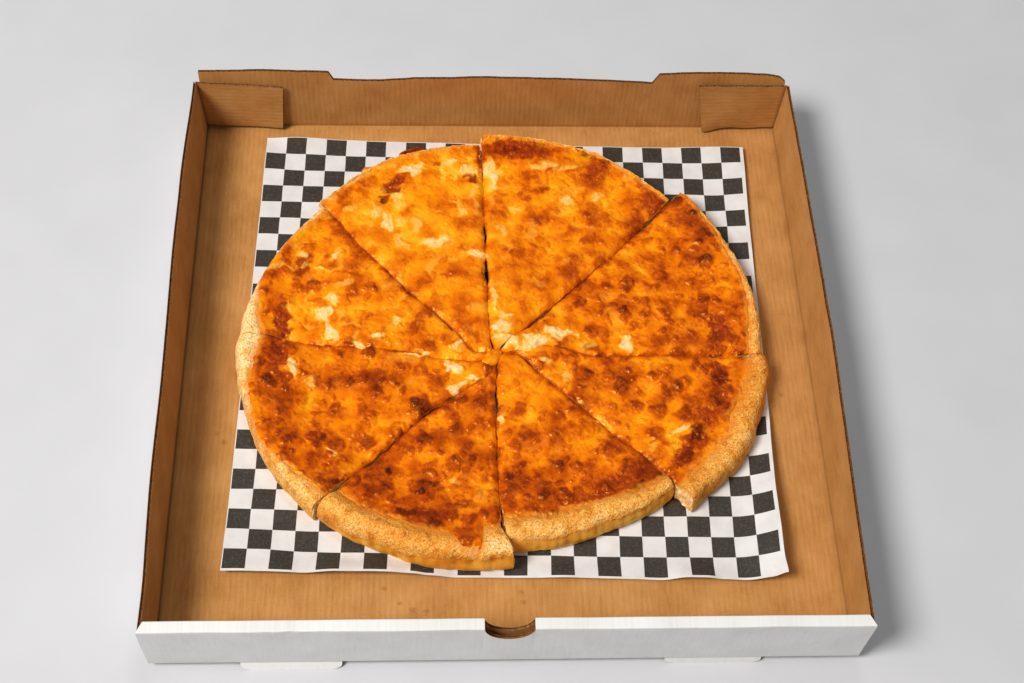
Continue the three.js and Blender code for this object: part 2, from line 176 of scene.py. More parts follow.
# The slices run from one cut to the next. Given at a slice's start, middle and end: reach (its outer radius),
# rim (the bare rim's width) and crest (its height) as in the CAD source, cover (the part of the rim that
# cheese runs over), scorch (how dark the cheese is along the crust), bake (how brown the crust is) and fold
# (where the crust's section folds from its grainy top to its smooth side). Given near the tip and further
# out: milky, tone (how brown) and blister. step is how sharply the crust rises from the cheese, and flare how
# far a slice's two sides spread.
SLICES = [
    {"cuts": "ba", "reach": [159, 165, 166], "rim": [3, 3, 3], "crest": [15, 15, 15], "step": 1,
     "cover": [0.5, 0.4, 0.5], "scorch": [0.3, 0.3, 0.5], "bake": [-0.2, -0.2, -0.1],
     "milky": [0.4, 0.4], "tone": [0.42, 0.42], "blister": [0.35, 0.7], "fold": [0.62, 0.62, 0.62]},
    {"cuts": "cb", "reach": [157, 163, 169], "rim": [10, 7, 4], "crest": [17, 16, 15], "step": 0.5,
     "cover": [0.1, 0.35, 0.6], "scorch": [0.5, 0.25, 0.4], "bake": [0, -0.1, -0.1],
     "milky": [0.5, 0.1], "tone": [0.43, 0.5], "blister": [0.9, 1], "fold": [0.62, 0.62, 0.62]},
    {"cuts": "dc", "reach": [146, 156, 160], "rim": [14.5, 17.5, 15], "crest": [18, 18, 18], "step": 0.8,
     "cover": [0.1, 0.1, 0.1], "scorch": [0.3, 0.3, 0.3], "bake": [0.05, 0.05, 0.16],
     "milky": [0.2, 0.1], "tone": [0.52, 0.47], "blister": [0.9, 0.9], "fold": [0.56, 0.6, 0.62]},
    {"cuts": "ed", "reach": [123.5, 126, 132.5], "rim": [17, 18, 11], "crest": [18, 17, 17], "step": 0.9,
     "cover": [0.1, 0.1, 0.1], "scorch": [0.5, 0.7, 0.9], "bake": [0, 0, 0.05],
     "milky": [0.15, 0.05], "tone": [0.46, 0.53], "blister": [0.8, 1], "fold": [0.52, 0.52, 0.5]},
    {"cuts": "fe", "reach": [142.5, 138.2, 133.5], "rim": [16.5, 17, 21], "crest": [20, 22, 21], "step": 1,
     "flare": (0, 3.5), "cover": [0.1, 0.1, 0.1], "scorch": [0.7, 0.9, 0.6], "bake": [0.05, 0.1, -0.05],
     "milky": [0.1, 0], "tone": [0.54, 0.52], "blister": [1, 1], "fold": [0.62, 0.57, 0.52]},
    {"cuts": "gf", "reach": [151, 147.5, 145], "rim": [16.5, 9, 12], "crest": [17, 18, 19], "step": 0.15,
     "cover": [0.12, 0.8, 0.12], "scorch": [0.3, 0.4, 0.5], "bake": [-0.36, -0.08, -0.03],
     "milky": [0.3, 0.1], "tone": [0.54, 0.49], "blister": [0.9, 1], "fold": [0.66, 0.66, 0.64]},
    {"cuts": "hg", "reach": [150, 149.8, 150.6], "rim": [8, 8, 14], "crest": [15, 16, 17], "step": 0.35,
     "cover": [0.5, 0.95, 0.12], "scorch": [0.4, 0.5, 0.4], "bake": [-0.25, -0.25, -0.38],
     "milky": [0.6, 0.6], "tone": [0.37, 0.38], "blister": [0.7, 0.8], "fold": [0.66, 0.66, 0.66]},
    {"cuts": "ah", "reach": [159, 160, 154], "rim": [3, 3, 4], "crest": [14, 14, 15], "step": 1,
     "cover": [0.5, 0.4, 0.3], "scorch": [0.2, 0.15, 0.2], "bake": [-0.2, -0.3, -0.2],
     "milky": [0.4, 0.7], "tone": [0.44, 0.34], "blister": [0.35, 0.35], "fold": [0.62, 0.62, 0.62]},
]

# Patches on the topping: x, y, half length, half width, turn in degrees, strength.
CREAM = [
    # back left
    (-52, 137, 9, 4.5, 15, 1), (-76, 104, 6, 4, 0, 0.6), (-66, 95, 3.5, 7, 0, 0.8),
    (-60, 115, 5, 4, 0, 0.6), (-38, 80, 11, 4.5, 8, 0.9), (-14, 72, 7, 3, -10, 0.9),
    (-17, 136, 6, 4, -30, 0.8), (-28, 144, 4, 3, 0, 0.8), (-88, 128, 10, 2.5, 38, 0.6),
    (-5, 138, 4, 8, 0, 0.8),
    # left
    (-103, 27, 6, 4.5, -40, 1), (-98, 37, 4.5, 4, 0, 0.8), (-98, 15, 2.8, 8, 12, 1),
    (-98, 68, 6, 2.6, 42, 0.9), (-104, 60, 3, 2, 0, 0.6), (-70, 12, 4, 2.2, 20, 0.9),
    (-60, 20, 5, 2.6, 30, 0.7), (-23, 6, 2.2, 6, -12, 0.9), (-118, 70, 2, 3, 0, 0.8),
    (-115, 62, 1.6, 2.6, 0, 0.7), (-12, 2, 3, 2.5, 0, 0.6), (-83, 4, 2.5, 1.8, -20, 0.9),
    # left front
    (-28, -10, 8, 3.4, -36, 1.1), (-17, -17, 7, 3.2, -8, 1.1), (-26, -24, 6, 2.4, 42, 1),
    (-49, -1, 9.5, 2, -6, 1), (-119, -12, 2.6, 7, 4, 1), (-108, -22, 3, 5, 10, 0.5),
    (-96, -69, 3.4, 1.8, -48, 0.8), (-124, 90, 4, 2, 40, 0.4),
    # back
    (0, 134, 6, 4, 0, 0.7), (-3, 124, 4, 5, 0, 0.6), (44, 112, 6, 2.6, -12, 0.8),
    (30, 140, 12, 2.6, 4, 0.6), (-1, 128, 3, 8, 0, 0.9), (64, 116, 5, 2.4, -20, 0.6),
    (12, 106, 4, 3, 0, 0.5), (4, 88, 3.4, 7, 8, 0.5), (-3, 40, 2.4, 12, 0, 0.6), (4, 26, 4.5, 5, 0, 0.7),
    (1, 17, 7, 5, 10, 0.9), (5, 8, 7, 4.5, 0, 0.9), (45, 138, 9, 2.6, 12, 0.5), (84, 128, 3, 5, 30, 0.4),
    # right
    (22, 8, 8.5, 5.5, 6, 1.1), (36, 13, 10, 3.6, -10, 1), (14, 5, 5, 3.4, 0, 0.9), (75, 6, 4.6, 5, 0, 1),
    (52, 5, 4, 3, 0, 0.5), (27, -4, 5, 2.4, 0, 0.7), (38, -16, 3.6, 3.6, 0, 0.5),
    (57, -46, 3, 1.6, -40, 0.8), (101, -53, 7, 1.6, 24, 0.8), (85, -63, 3.6, 3.4, 0, 0.5),
    (97, -62, 1.6, 5, -8, 0.5),
    # front
    (1, -45, 2.6, 3.6, 0, 1), (-27, -84, 4, 2, -30, 0.5), (-12, -97, 3, 6, 0, 0.3),
]
BROWN = [
    # back left
    (-92, 117, 3.2, 4.4, -20, 0.5), (-38, 141, 5, 3.2, 0, 0.4), (-85, 105, 4, 1.6, 10, 0.35),
    (-99, 101, 3, 8, -20, 0.45), (-26, 70, 5, 2.2, -25, 0.35), (-22, 64, 9, 5, 0, 0.22),
    (-31, 47, 4.5, 4, 0, 0.3), (-12, 95, 3, 6, 0, 0.35), (-24, 128, 7, 1.6, -5, 0.3),
    (-19, 77, 3, 3, 0, 0.6), (-10, 55, 3, 14, 0, 0.3), (-13, 20, 8, 3, -50, 0.3),
    # left
    (-96, 84, 7, 2.6, 4, 0.5), (-91, 85, 3, 2.4, 0, 0.4), (-84, 53, 5, 4, 0, 0.3),
    (-87, 41, 4.4, 3, 0, 0.4), (-64, 52, 4, 5, 20, 0.3), (-62, 40, 3.4, 2.2, 0, 0.35),
    (-60, 30, 5, 2, 10, 0.4), (-75, 36, 3, 2, 0, 0.35), (-71, 26, 3, 2, 0, 0.3),
    (-50, 15, 3.8, 3.4, 0, 0.25), (-113, 20, 3.4, 3.4, 0, 0.3), (-120, 45, 5, 3, 0, 0.3),
    (-108, 92, 5, 4, 40, 0.4), (-118, 78, 3.4, 4, 0, 0.45), (-72, 62, 6, 3, -45, 0.25),
    (-40, 6, 5, 2.6, 0, 0.4), (-146, 36, 2, 6, 0, 0.4), (-138, 52, 4, 3, 0, 0.3),
    # left front
    (-74, -15, 4, 5, 0, 0.35), (-75, -25, 9, 3.2, 8, 0.4), (-59, -23, 5, 4, 0, 0.35),
    (-88, -35, 9, 5, -10, 0.3), (-95, -37, 3, 3, 0, 0.45), (-92, -5, 4.5, 6, 0, 0.3),
    (-105, -50, 5, 3, 0, 0.35), (-124, -43, 6, 3, 0, 0.3), (-97, -60, 5, 4, 0, 0.4),
    (-76, -60, 5, 5, 0, 0.3), (-104, -73, 9, 8, -30, 0.45), (-95, -81, 9, 5, -40, 0.5),
    (-121, -66, 4, 2, 0, 0.4), (-128, -28, 12, 6, -8, 0.2), (-50, -38, 14, 3, 44, 0.35),
    (-40, -36, 5, 6, 40, 0.4), (-115, -26, 3, 8, 20, 0.3),
    # back
    (22, 133, 4.4, 3.4, 0, 0.5), (29, 122, 5.5, 5, 0, 0.3), (30, 121, 3, 3, 0, 0.9),
    (57, 109, 13, 2.4, -10, 0.45), (62, 131, 8, 9, 0, 0.3), (45, 61, 5, 6, 0, 0.22), (36, 64, 3, 4, 0, 0.2),
    (97, 108, 8, 8, 40, 0.4), (86, 99, 7, 5, 60, 0.35), (74, 112, 5, 3, 0, 0.3), (2, 105, 4, 3.4, 0, 0.3),
    (16, 29, 3, 3, 0, 0.3), (50, 150, 9, 3, -25, 0.35), (104, 112, 3, 7, 45, 0.3),
    (92, 122, 7, 3, -48, 0.25),
    # right
    (62, 44, 7.5, 6, 0, 0.36), (77, 46, 4, 3, 0, 0.5), (75, 63, 3.2, 2.6, 0, 0.5),
    (93, 75, 3, 2.2, 0, 0.35), (95, 63, 2.6, 2.2, 0, 0.35), (118, 64, 7, 9, 0, 0.3),
    (118, 73, 5.5, 3, 20, 0.4), (125, 48, 7, 3, 5, 0.45), (100, 85, 8, 3, -5, 0.35),
    (114, 98, 10, 6, -20, 0.35), (124, 104, 6, 4, 0, 0.3), (119, 25, 8, 5, 0, 0.3),
    (140, 37, 2.4, 3, 0, 0.35), (100, 20, 5, 4, 0, 0.25), (57, 28, 4.4, 3, 0, 0.3), (48, 34, 3, 4, 0, 0.3),
    (63, 8, 3.4, 5, 0, 0.55), (50, 18, 7, 5, 0, 0.3), (100, 55, 4, 3, 0, 0.25), (66, 53, 6, 3, 0, 0.3),
    (60, -24, 6.5, 4, 0, 0.35), (100, -26, 3.4, 3, 0, 0.3), (90, -43, 5, 2.6, 0, 0.25),
    (78, -43, 5, 3, 0, 0.2), (70, -14, 5, 3, 0, 0.25), (84, -6, 4, 3, 0, 0.4), (100, -2, 45, 2, 0, 0.3),
    (116, -43, 6, 4, 20, 0.4), (70, -62, 4, 5, 0, 0.2), (45, -3, 4, 3, 20, 0.3),
    # front
    (20, -79, 3.4, 4.4, 0, 0.45), (8, -76, 3.4, 2.2, 0, 0.35), (47, -77, 4.4, 4.4, 0, 0.4),
    (9, -41, 6, 4, 0, 0.25), (32, -43, 4, 4, 0, 0.25), (31, -58, 4.4, 3, 0, 0.3), (9, -12, 7, 5, 0, 0.3),
    (24, -23, 5.5, 2.2, 0, 0.25), (65, -57, 6, 4, -40, 0.3), (60, -50, 12, 2, -45, 0.3),
    (30, -70, 4, 3, 0, 0.25), (76, -73, 9, 6, 0, 0.4), (-64, -78, 6, 4, 0, 0.4), (-57, -60, 4, 3, 0, 0.25),
    (-45, -85, 7, 4, 0, 0.4), (-35, -88, 4, 3.2, 0, 0.4), (-20, -57, 4, 5, 0, 0.25),
    (-72, -91, 8, 4, 0, 0.4), (-63, -97, 11, 4, -34, 0.4), (-52, -66, 3, 3, 0, 0.3),
    (-20, -24, 8, 4, 0, 0.3), (-10, -44, 4, 3, 0, 0.2), (-8, -66, 3, 8, 0, 0.25),
    (-75, -74, 9, 2.4, 45, 0.3),
]
BURNT = [
    (68, 143, 7, 1.6, -20, 0.7), (-64, -79, 2.4, 2.4, 0, 1), (-42, -107, 15, 4, -3, 0.55),
    (-54, -106, 6, 3, -14, 0.8), (-24, -101, 7, 2, 0, 0.6), (124, -36, 4, 5, 20, 0.7),
    (127, -18, 4.5, 7, 0, 0.7), (111, -54, 7, 4.5, 50, 0.8), (103, -69, 7, 5, 60, 0.7),
    (109.5, -79, 4.5, 2, 35, 1), (123, -30, 4, 7, 0, 0.55), (127, 11, 5, 5, 0, 0.6),
    (77, -81, 6, 3, 40, 0.7), (-130, 2, 7, 4, 0, 0.6), (-90, -85, 7, 2.4, 28, 0.8),
    (-75, -73, 4, 1.8, 40, 0.7), (-42, -40, 3.4, 2.6, 40, 0.7), (9, 153, 6, 3, 0, 0.6),
    (28, 157, 6, 3, -20, 0.6), (31, 121, 2, 2, 0, 0.5), (59, 149, 6, 2, -24, 0.8), (7, 152, 5, 3, 0, 0.5),
    (0, 149, 4, 2, 0, 0.5), (-69, 112, 3, 1.8, 0, 0.8), (-59, -23, 1.5, 1.5, 0, 0.8),
    (-7, 91, 1.4, 7, 0, 0.6), (-8, 55, 1.6, 7, 0, 0.8), (122, 73, 4, 1.4, 20, 0.3),
    (78, -76, 8, 4, 28, 0.5), (60, -88, 12, 4, 22, 0.45), (101, 104, 3, 5, -40, 0.5),
    (87, 91, 5, 2, 40, 0.5), (-118, 56, 4, 3, 0, 0.35), (-98, -93, 4, 2, 60, 0.5), (-60, 1, 2, 1.4, 0, 0.6),
]
SAUCE = [
    (15, 153, 21, 7, -6, 0.9), (-9, 147, 3.4, 9, 0, 0.8), (-63, 124, 8, 4.6, 38, 0.9),
    (-69, 113, 4, 3.4, 0, 0.7), (-14, 131, 5, 3.4, -20, 0.9), (-127, 21, 5, 12, 0, 0.9),
    (-117, 62, 4.6, 12, -14, 0.6), (-129, -3, 6.5, 12, 0, 0.8), (-125, -19, 5, 4, 0, 0.7),
    (64, 137, 8, 7, 0, 0.65), (98, 108, 7, 8, 40, 0.6), (86, 97, 5, 6, -40, 0.6), (130, 17, 7, 10, 0, 0.8),
    (126, 5, 6, 6, 0, 0.6), (115, 8, 5, 4, 0, 0.4), (127, -18, 6, 11, 0, 0.95), (124, -34, 5, 8, 10, 0.7),
    (117, -44, 7, 7, 25, 0.8), (110, -59, 8, 6, 35, 0.9), (101, -71, 8, 6, 50, 0.9),
    (124, -37, 4, 5, 10, 0.6), (60, -89, 20, 6, 22, 0.65), (78, -76, 10, 6, 28, 0.65),
    (3, -98, 4, 6, 0, 0.6), (35, -99, 12, 3, 10, 0.6), (-42, -107, 20, 5.5, -3, 0.65),
    (-20, -100, 8, 3, 0, 0.4), (-22, -114, 6, 6, 0, 0.12), (-87, 7, 3.4, 3, 0, 0.7), (-40, 5, 5, 3, 0, 0.5),
    (53, 4, 5, 3, 0, 0.5), (-95, -82, 8, 5, -35, 0.4), (-16, 12, 7, 2.4, -48, 0.4), (116, 97, 8, 5, 0, 0.4),
    (118, 66, 5, 7, 0, 0.3), (8, -42, 4, 4, 0, 0.3), (85, -62, 4, 4, 0, 0.25), (45, 62, 4, 5, 0, 0.2),
    (-117, 46, 4, 2, 0, 0.4), (-36, 141, 3, 2, 0, 0.4),
]
# Runs of cheese over the crust: slice, place across it, half width, reach past the cheese's edge.
DRIPS = [
    (5, 0.765, 12, 9), (5, 0.785, 11, 13.5), (5, 0.805, 9, 15.5), (5, 0.2, 4, 1.5), (3, 0.7, 16, 1.5),
    (6, 0.4, 20, 5), (5, 0.5, 16, 2.5),
]
# Lumps of cheese: slice, x, y, z, half length, half width, half height, turn, tone. One lies over the slices'
# tips, some hang burnt off the back edge, and the rest are bubbles that stand out over the rim.
LUMPS = [
    (6, -4.5, -3.5, 13.2, 6.5, 4.6, 2.6, 35, 0.34), (8, -51, 156, 7.5, 8.5, 4, 3, 16, 0.85),
    (8, -80, 137.5, 12.5, 4, 2.6, 1.8, 30, 0.45), (8, -101.5, 113, 12.5, 5, 3, 2.2, 48, 0.3),
    (7, -138, 52.5, 15, 4, 3, 2.2, 72, 0.7), (7, -143.5, 32.5, 15.5, 3.6, 3, 2.2, 80, 0.75),
    (2, 129.5, 97.5, 13.5, 4, 2.6, 2, -50, 0.5), (1, 3, 164, 13.5, 3, 2, 1.6, 0, 0.6),
]


# ---- Smooth and random values ----
def smooth(low, high, x):
    t = np.clip((x - low) / (high - low), 0, 1)
    return t * t * (3 - 2 * t)


def mix(a, b, t):
    return a + (b - a) * t


def through(stations, x):
    """Smooth values at x through (x, value) stations in rising order."""
    at, value = np.array(stations, float).T
    k = np.clip(np.searchsorted(at, x, side="right") - 1, 0, len(at) - 2)
    return mix(value[k], value[k + 1], smooth(0, 1, (x - at[k]) / (at[k + 1] - at[k])))


def through_straight(stations, x):
    """The same with straight lines from station to station."""
    at, value = np.array(stations, float).T
    return np.interp(x, at, value)


def thirds(values, s):
    """Smooth values at s through three that are given at 0, 0.5 and 1."""
    return through(list(zip((0, 0.5, 1), values)), s)


def outwards(values, radius):
    """A slice's value near its tip turning into the one further out."""
    return mix(*values, smooth(45, 100, radius))


def draw(ix, iy, seed):
    """A random number from 0 to 1 for each lattice point, from an integer hash."""
    h = (ix * 374761393 + iy * 668265263 + seed * 974634777) & 0xFFFFFFFF
    h = ((h ^ (h >> 13)) * 1274126177) & 0xFFFFFFFF
    return ((h ^ (h >> 16)) & 0xFFFF) / 65535


def noise(x, y, size, seed):
    """Smooth noise from about -1 to 1, whose bumps are size apart."""
    gx, gy = x / size, y / size
    ix, iy = np.floor(gx).astype(np.int64), np.floor(gy).astype(np.int64)
    fx, fy = gx - ix, gy - iy
    wx, wy = (f * f * f * (f * (f * 6 - 15) + 10) for f in (fx, fy))
    corner = []
    for dy in (0, 1):
        for dx in (0, 1):
            angle = 2 * np.pi * draw(ix + dx, iy + dy, seed)
            corner.append(np.cos(angle) * (fx - dx) + np.sin(angle) * (fy - dy))
    return 1.6 * mix(mix(corner[0], corner[1], wx), mix(corner[2], corner[3], wx), wy)


def wander(x, size, seed):
    """The same along a line."""
    return noise(x, 0 * x, size, seed)


def fractal(x, y, size, seed, octaves=3):
    """Noise with finer noise on it."""
    return sum(noise(x, y, size / 2**k, seed + 7 * k) / 2**k for k in range(octaves))


def cells(x, y, size, seed):
    """For random spots about size apart: distance to the nearest as part of size, and its own number."""
    gx, gy = x / size, y / size
    ix, iy = np.floor(gx).astype(np.int64), np.floor(gy).astype(np.int64)
    first, number = np.full(x.shape, 9.0), np.zeros(x.shape)
    for dy in (-1, 0, 1):
        for dx in (-1, 0, 1):
            jx, jy = ix + dx, iy + dy
            away = np.hypot(jx + draw(jx, jy, seed) - gx, jy + draw(jx, jy, seed + 1) - gy)
            nearer = away < first
            number = np.where(nearer, draw(jx, jy, seed + 2), number)
            first = np.where(nearer, away, first)
    return first, number


def domes(x, y, size, seed, share):
    """Round bumps over a share of random spots: height from 0 at the foot to 1, and each one's own number."""
    near, number = cells(x, y, size, seed)
    reach = mix(0.3, 0.62, number / share)
    return np.where(number < share, smooth(reach, 0.05, near), 0), number / share


def turned(x, y, degrees):
    """x and y in a frame that is turned by so many degrees."""
    c, s = math.cos(math.radians(degrees)), math.sin(math.radians(degrees))
    return x * c + y * s, y * c - x * s


def patches(x, y, spots, ragged, seed):
    """How much of the spots covers each point, with ragged outlines."""
    wx = x + 2.0 * noise(x, y, 9, seed) + 0.9 * noise(x, y, 3.4, seed + 1)
    wy = y + 2.0 * noise(x, y, 9, seed + 2) + 0.9 * noise(x, y, 3.4, seed + 3)
    rough = ragged * fractal(x, y, 4.5, seed + 4)
    cover = np.zeros(x.shape)
    for mx, my, long, wide, turn, strength in spots:
        near = np.hypot(x - mx, y - my) < 1.8 * max(long, wide) + 5
        along, across = turned(wx[near] - mx, wy[near] - my, turn)
        away = np.hypot(along / long, across / wide) + rough[near]
        cover[near] = np.maximum(cover[near], strength * smooth(1.35, 0.45, away))
    return cover


# ---- Closed bodies ----
class Shell:
    """Points, their marks and triangles of closed bodies, gathered row by row."""

    def __init__(self):
        self.points, self.marks, self.triangles, self.kinds, self.size = [], [], [], [], 0

    def add(self, points, **marks):
        """Adds points and gives their numbers, in the same layout."""
        points = np.asarray(points, float)
        numbers = self.size + np.arange(points[..., 0].size).reshape(points.shape[:-1])
        self.points.append(points.reshape(-1, 3))
        self.marks.append({name: np.broadcast_to(v, numbers.shape).ravel() for name, v in marks.items()})
        self.size += numbers.size
        return numbers

    def face(self, triangles, kind=0):
        self.triangles.append(triangles)
        self.kinds.append(np.full(len(triangles), kind))

    def strip(self, a, b, flip=False, kind=0):
        """Joins rows a and b, which run the same way and may differ in count. The faces look along
        (b - a) x (the rows' own way)."""
        ta, tb = np.linspace(0, 1, len(a)), np.linspace(0, 1, len(b))
        on_b = np.repeat([False, True], [len(a) - 1, len(b) - 1])
        on_b = on_b[np.lexsort((on_b, np.concatenate([ta[1:], tb[1:]])))]
        i, j = np.cumsum(~on_b), np.cumsum(on_b)
        third = np.where(on_b, b[j], a[i])
        made = np.stack([a[i - ~on_b], b[j - on_b], third], 1)
        self.face(made[:, ::-1] if flip else made, kind)

    def sheet(self, grid, flip=False, kind=0):
        """Faces over a grid of point numbers. They look along i x j."""
        a, b, c, d = grid[:-1, :-1], grid[1:, :-1], grid[1:, 1:], grid[:-1, 1:]
        halves = [np.stack(corners, -1).reshape(-1, 3) for corners in ((a, b, c), (a, c, d))]
        made = np.concatenate(halves)
        self.face(made[:, ::-1] if flip else made, kind)

    def piece(self, name, node, slot, materials):
        """Makes the finished object, which stands for a CAD node."""
        points = standing(np.concatenate(self.points))
        triangles = np.concatenate(self.triangles).astype(np.int32)
        mesh = bpy.data.meshes.new(name)
        mesh.vertices.add(len(points))
        mesh.vertices.foreach_set("co", points.astype(np.float32).ravel())
        mesh.loops.add(triangles.size)
        mesh.loops.foreach_set("vertex_index", triangles.ravel())
        mesh.polygons.add(len(triangles))
        mesh.polygons.foreach_set("loop_start", np.arange(0, triangles.size, 3, dtype=np.int32))
        mesh.polygons.foreach_set("material_index", np.concatenate(self.kinds).astype(np.int32))
        mesh.polygons.foreach_set("use_smooth", np.ones(len(triangles), bool))
        mesh.update(calc_edges=True)
        mesh.set_sharp_from_angle(angle=math.radians(55))
        for mark in sorted({key for part in self.marks for key in part}):
            values = [part.get(mark, np.zeros(len(p))) for part, p in zip(self.marks, self.points)]
            layer = mesh.attributes.new(mark, "FLOAT", "POINT")
            layer.data.foreach_set("value", np.concatenate(values).astype(np.float32))
        for material in materials:
            mesh.materials.append(material)
        obj = bpy.data.objects.new(name, mesh)
        bpy.context.scene.collection.objects.link(obj)
        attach(obj, "root")
        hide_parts(node)


# From the tabs to the tray's back edge.
REST_SPAN = BACK + BOARD - FRONT + max(tab["splay"] for tab in TABS)
STAND_TILT = -math.atan2(TAB_DROP, REST_SPAN)
STAND_AT = np.array([0.447, -0.013, 2.026])      # moves the bottom centre to the origin


def standing(points):
    """Tray frame to the frame of the whole, in metres: tilted by the lock tabs, its foot's middle at zero."""
    return (points @ np.array(Matrix.Rotation(STAND_TILT, 3, "X")).T + STAND_AT) * MM


LEAST_GROOVE = 0.02             # the edge's rings stay this far apart even where it has no groove


def slab(shell, upper, lower, kinds=(0, 0, 0), groove=(0, 0, 0, 0), **marks):
    """A closed sheet between two grids of points. Its i x j looks out of the upper face. kinds are the
    materials of the upper face, the lower face and the edge, and groove is how far the edge's core stands
    back at the first row, the last column, the last row and the first column."""
    top = shell.add(upper, **marks)
    low = shell.add(lower, **marks)
    shell.sheet(top, kind=kinds[0])
    shell.sheet(low, flip=True, kind=kinds[1])
    rows, columns = top.shape
    along_i, along_j = np.arange(rows), np.arange(columns)
    i = np.concatenate([along_i[:-1], 0 * along_j[1:] + rows - 1, along_i[:0:-1], 0 * along_j[1:]])
    j = np.concatenate([0 * along_i[1:], along_j[:-1], 0 * along_i[1:] + columns - 1, along_j[:0:-1]])
    a, b = upper[i, j], lower[i, j]
    loops = [top[i, j], low[i, j]]
    if max(groove) > 0:
        inward = np.zeros((len(i), 3))
        sides = [(i == 0, 1, 0), (j == columns - 1, 0, -1), (i == rows - 1, -1, 0), (j == 0, 0, 1)]
        for deep, (on, di, dj) in zip(groove, sides):
            step = upper[i + di * on, j + dj * on] - a
            step /= np.maximum(np.linalg.norm(step, axis=1, keepdims=True), 1e-9)
            inward += np.where(on[:, None], step, 0) * max(deep, LEAST_GROOVE)
        near, far = mix(a, b, LINER), mix(b, a, LINER)
        loops[1:1] = [shell.add(ring) for ring in (near, near + inward, far + inward, far)]
    for one, other in zip(loops, loops[1:]):
        ring = np.stack([np.append(one, one[0]), np.append(other, other[0])], 1)
        shell.sheet(ring, flip=True, kind=kinds[2])


# ---- The pizza's plan ----
def side_bearing(cut, radius, side):
    """Bearing of a cut's one side (-1 or 1) at a radius."""
    sway = through(list(zip(SWAY_RADII, cut["sway"])), radius) / np.maximum(radius, SWAY_RADII[0])
    return math.radians(cut["bearing"]) + sway + side * cut["gap"] / 2 / radius


def place(piece, s, radius, spread=(0, 0)):
    """x, y and the slice's angle. s is 0 at its first cut and 1 at its second. spread moves its sides out."""
    first = side_bearing(CUTS[piece["cuts"][0]], radius, 1) - spread[0] / radius
    second = side_bearing(CUTS[piece["cuts"][1]], radius, -1)
    second = np.where(second > first, second, second + 2 * np.pi) + spread[1] / radius
    bearing = mix(first, second, s)
    return PIVOT[0] + radius * np.cos(bearing), PIVOT[1] + radius * np.sin(bearing), second - first


def edge_of(piece, s):
    """Radius at which the cheese meets the bare rim. It wanders a little, more where the rim is narrow."""
    arc = 31 * piece["reach"][1] + SLICE_ARC * s
    rim = thirds(piece["rim"], s)
    broad = 0.7 * wander(arc, 15, 220) + 0.45 * wander(arc, 5.5, 221)
    fine = 0.55 * smooth(9, 4, rim) * fractal(arc, 0 * arc, 3.6, 222, 2)
    return thirds(piece["reach"], s) - rim + (broad + fine)


def swell(x, y):
    return sum(high * np.sin(2 * np.pi * turned(x, y, bearing)[0] / long + phase)
               for high, long, bearing, phase in SWELLS)


def step_down(piece, s):
    """How far the cheese meets the crust below its crest."""
    return mix(RIM_LOW, RIM_START, smooth(4, 13, thirds(piece["rim"], s))) * piece["step"]


def cheese_plane(piece, s, radius, x, y):
    """The cheese's top without its blisters, and its thickness, as in the CAD part."""
    edge = edge_of(piece, s)
    shore = smooth(edge - SHORE, edge, radius)
    top = BOARD + mix(CHEESE_LEVEL + swell(x, y), thirds(piece["crest"], s) - step_down(piece, s), shore)
    return top, mix(CHEESE_THICK, CHEESE_EDGE, smooth(edge - THIN, edge, radius))


def section(q):
    """The crust's section at q from 0 to 1: part of the rim outwards, part of the crest up, and its way."""
    knots = np.array([SECTION[0], *SECTION, SECTION[-1]], float)
    spans = len(SECTION) - 1
    k = np.clip((q * spans).astype(int), 0, spans - 1)
    t = (q * spans - k)[..., None]
    p0, p1, p2, p3 = (knots[k + n] for n in range(4))
    square, cube = 2 * p0 - 5 * p1 + 4 * p2 - p3, 3 * (p1 - p2) + p3 - p0
    at = 0.5 * (2 * p1 + (p2 - p0) * t + square * t**2 + cube * t**3)
    way = 0.5 * ((p2 - p0) + 2 * square * t + 3 * cube * t**2)
    return at[..., 0], at[..., 1], way


def foot_of_rim(piece, s, out):
    """Brings the section's start, where the cheese ends, to its right depth below the crest."""
    crest = thirds(piece["crest"], s)
    start = crest - step_down(piece, s) - CHEESE_EDGE - LAYER_GAP
    return (start - SECTION[0][1] * crest) * smooth(0.45, 0, out)


def from_fold(piece, s, q):
    """q counted so that the crust's fold from its grainy top to its smooth side is always at 0.5."""
    fold = thirds(piece["fold"], s)
    return np.where(q < fold, 0.5 * q / fold, 1 - 0.5 * (1 - q) / (1 - fold))


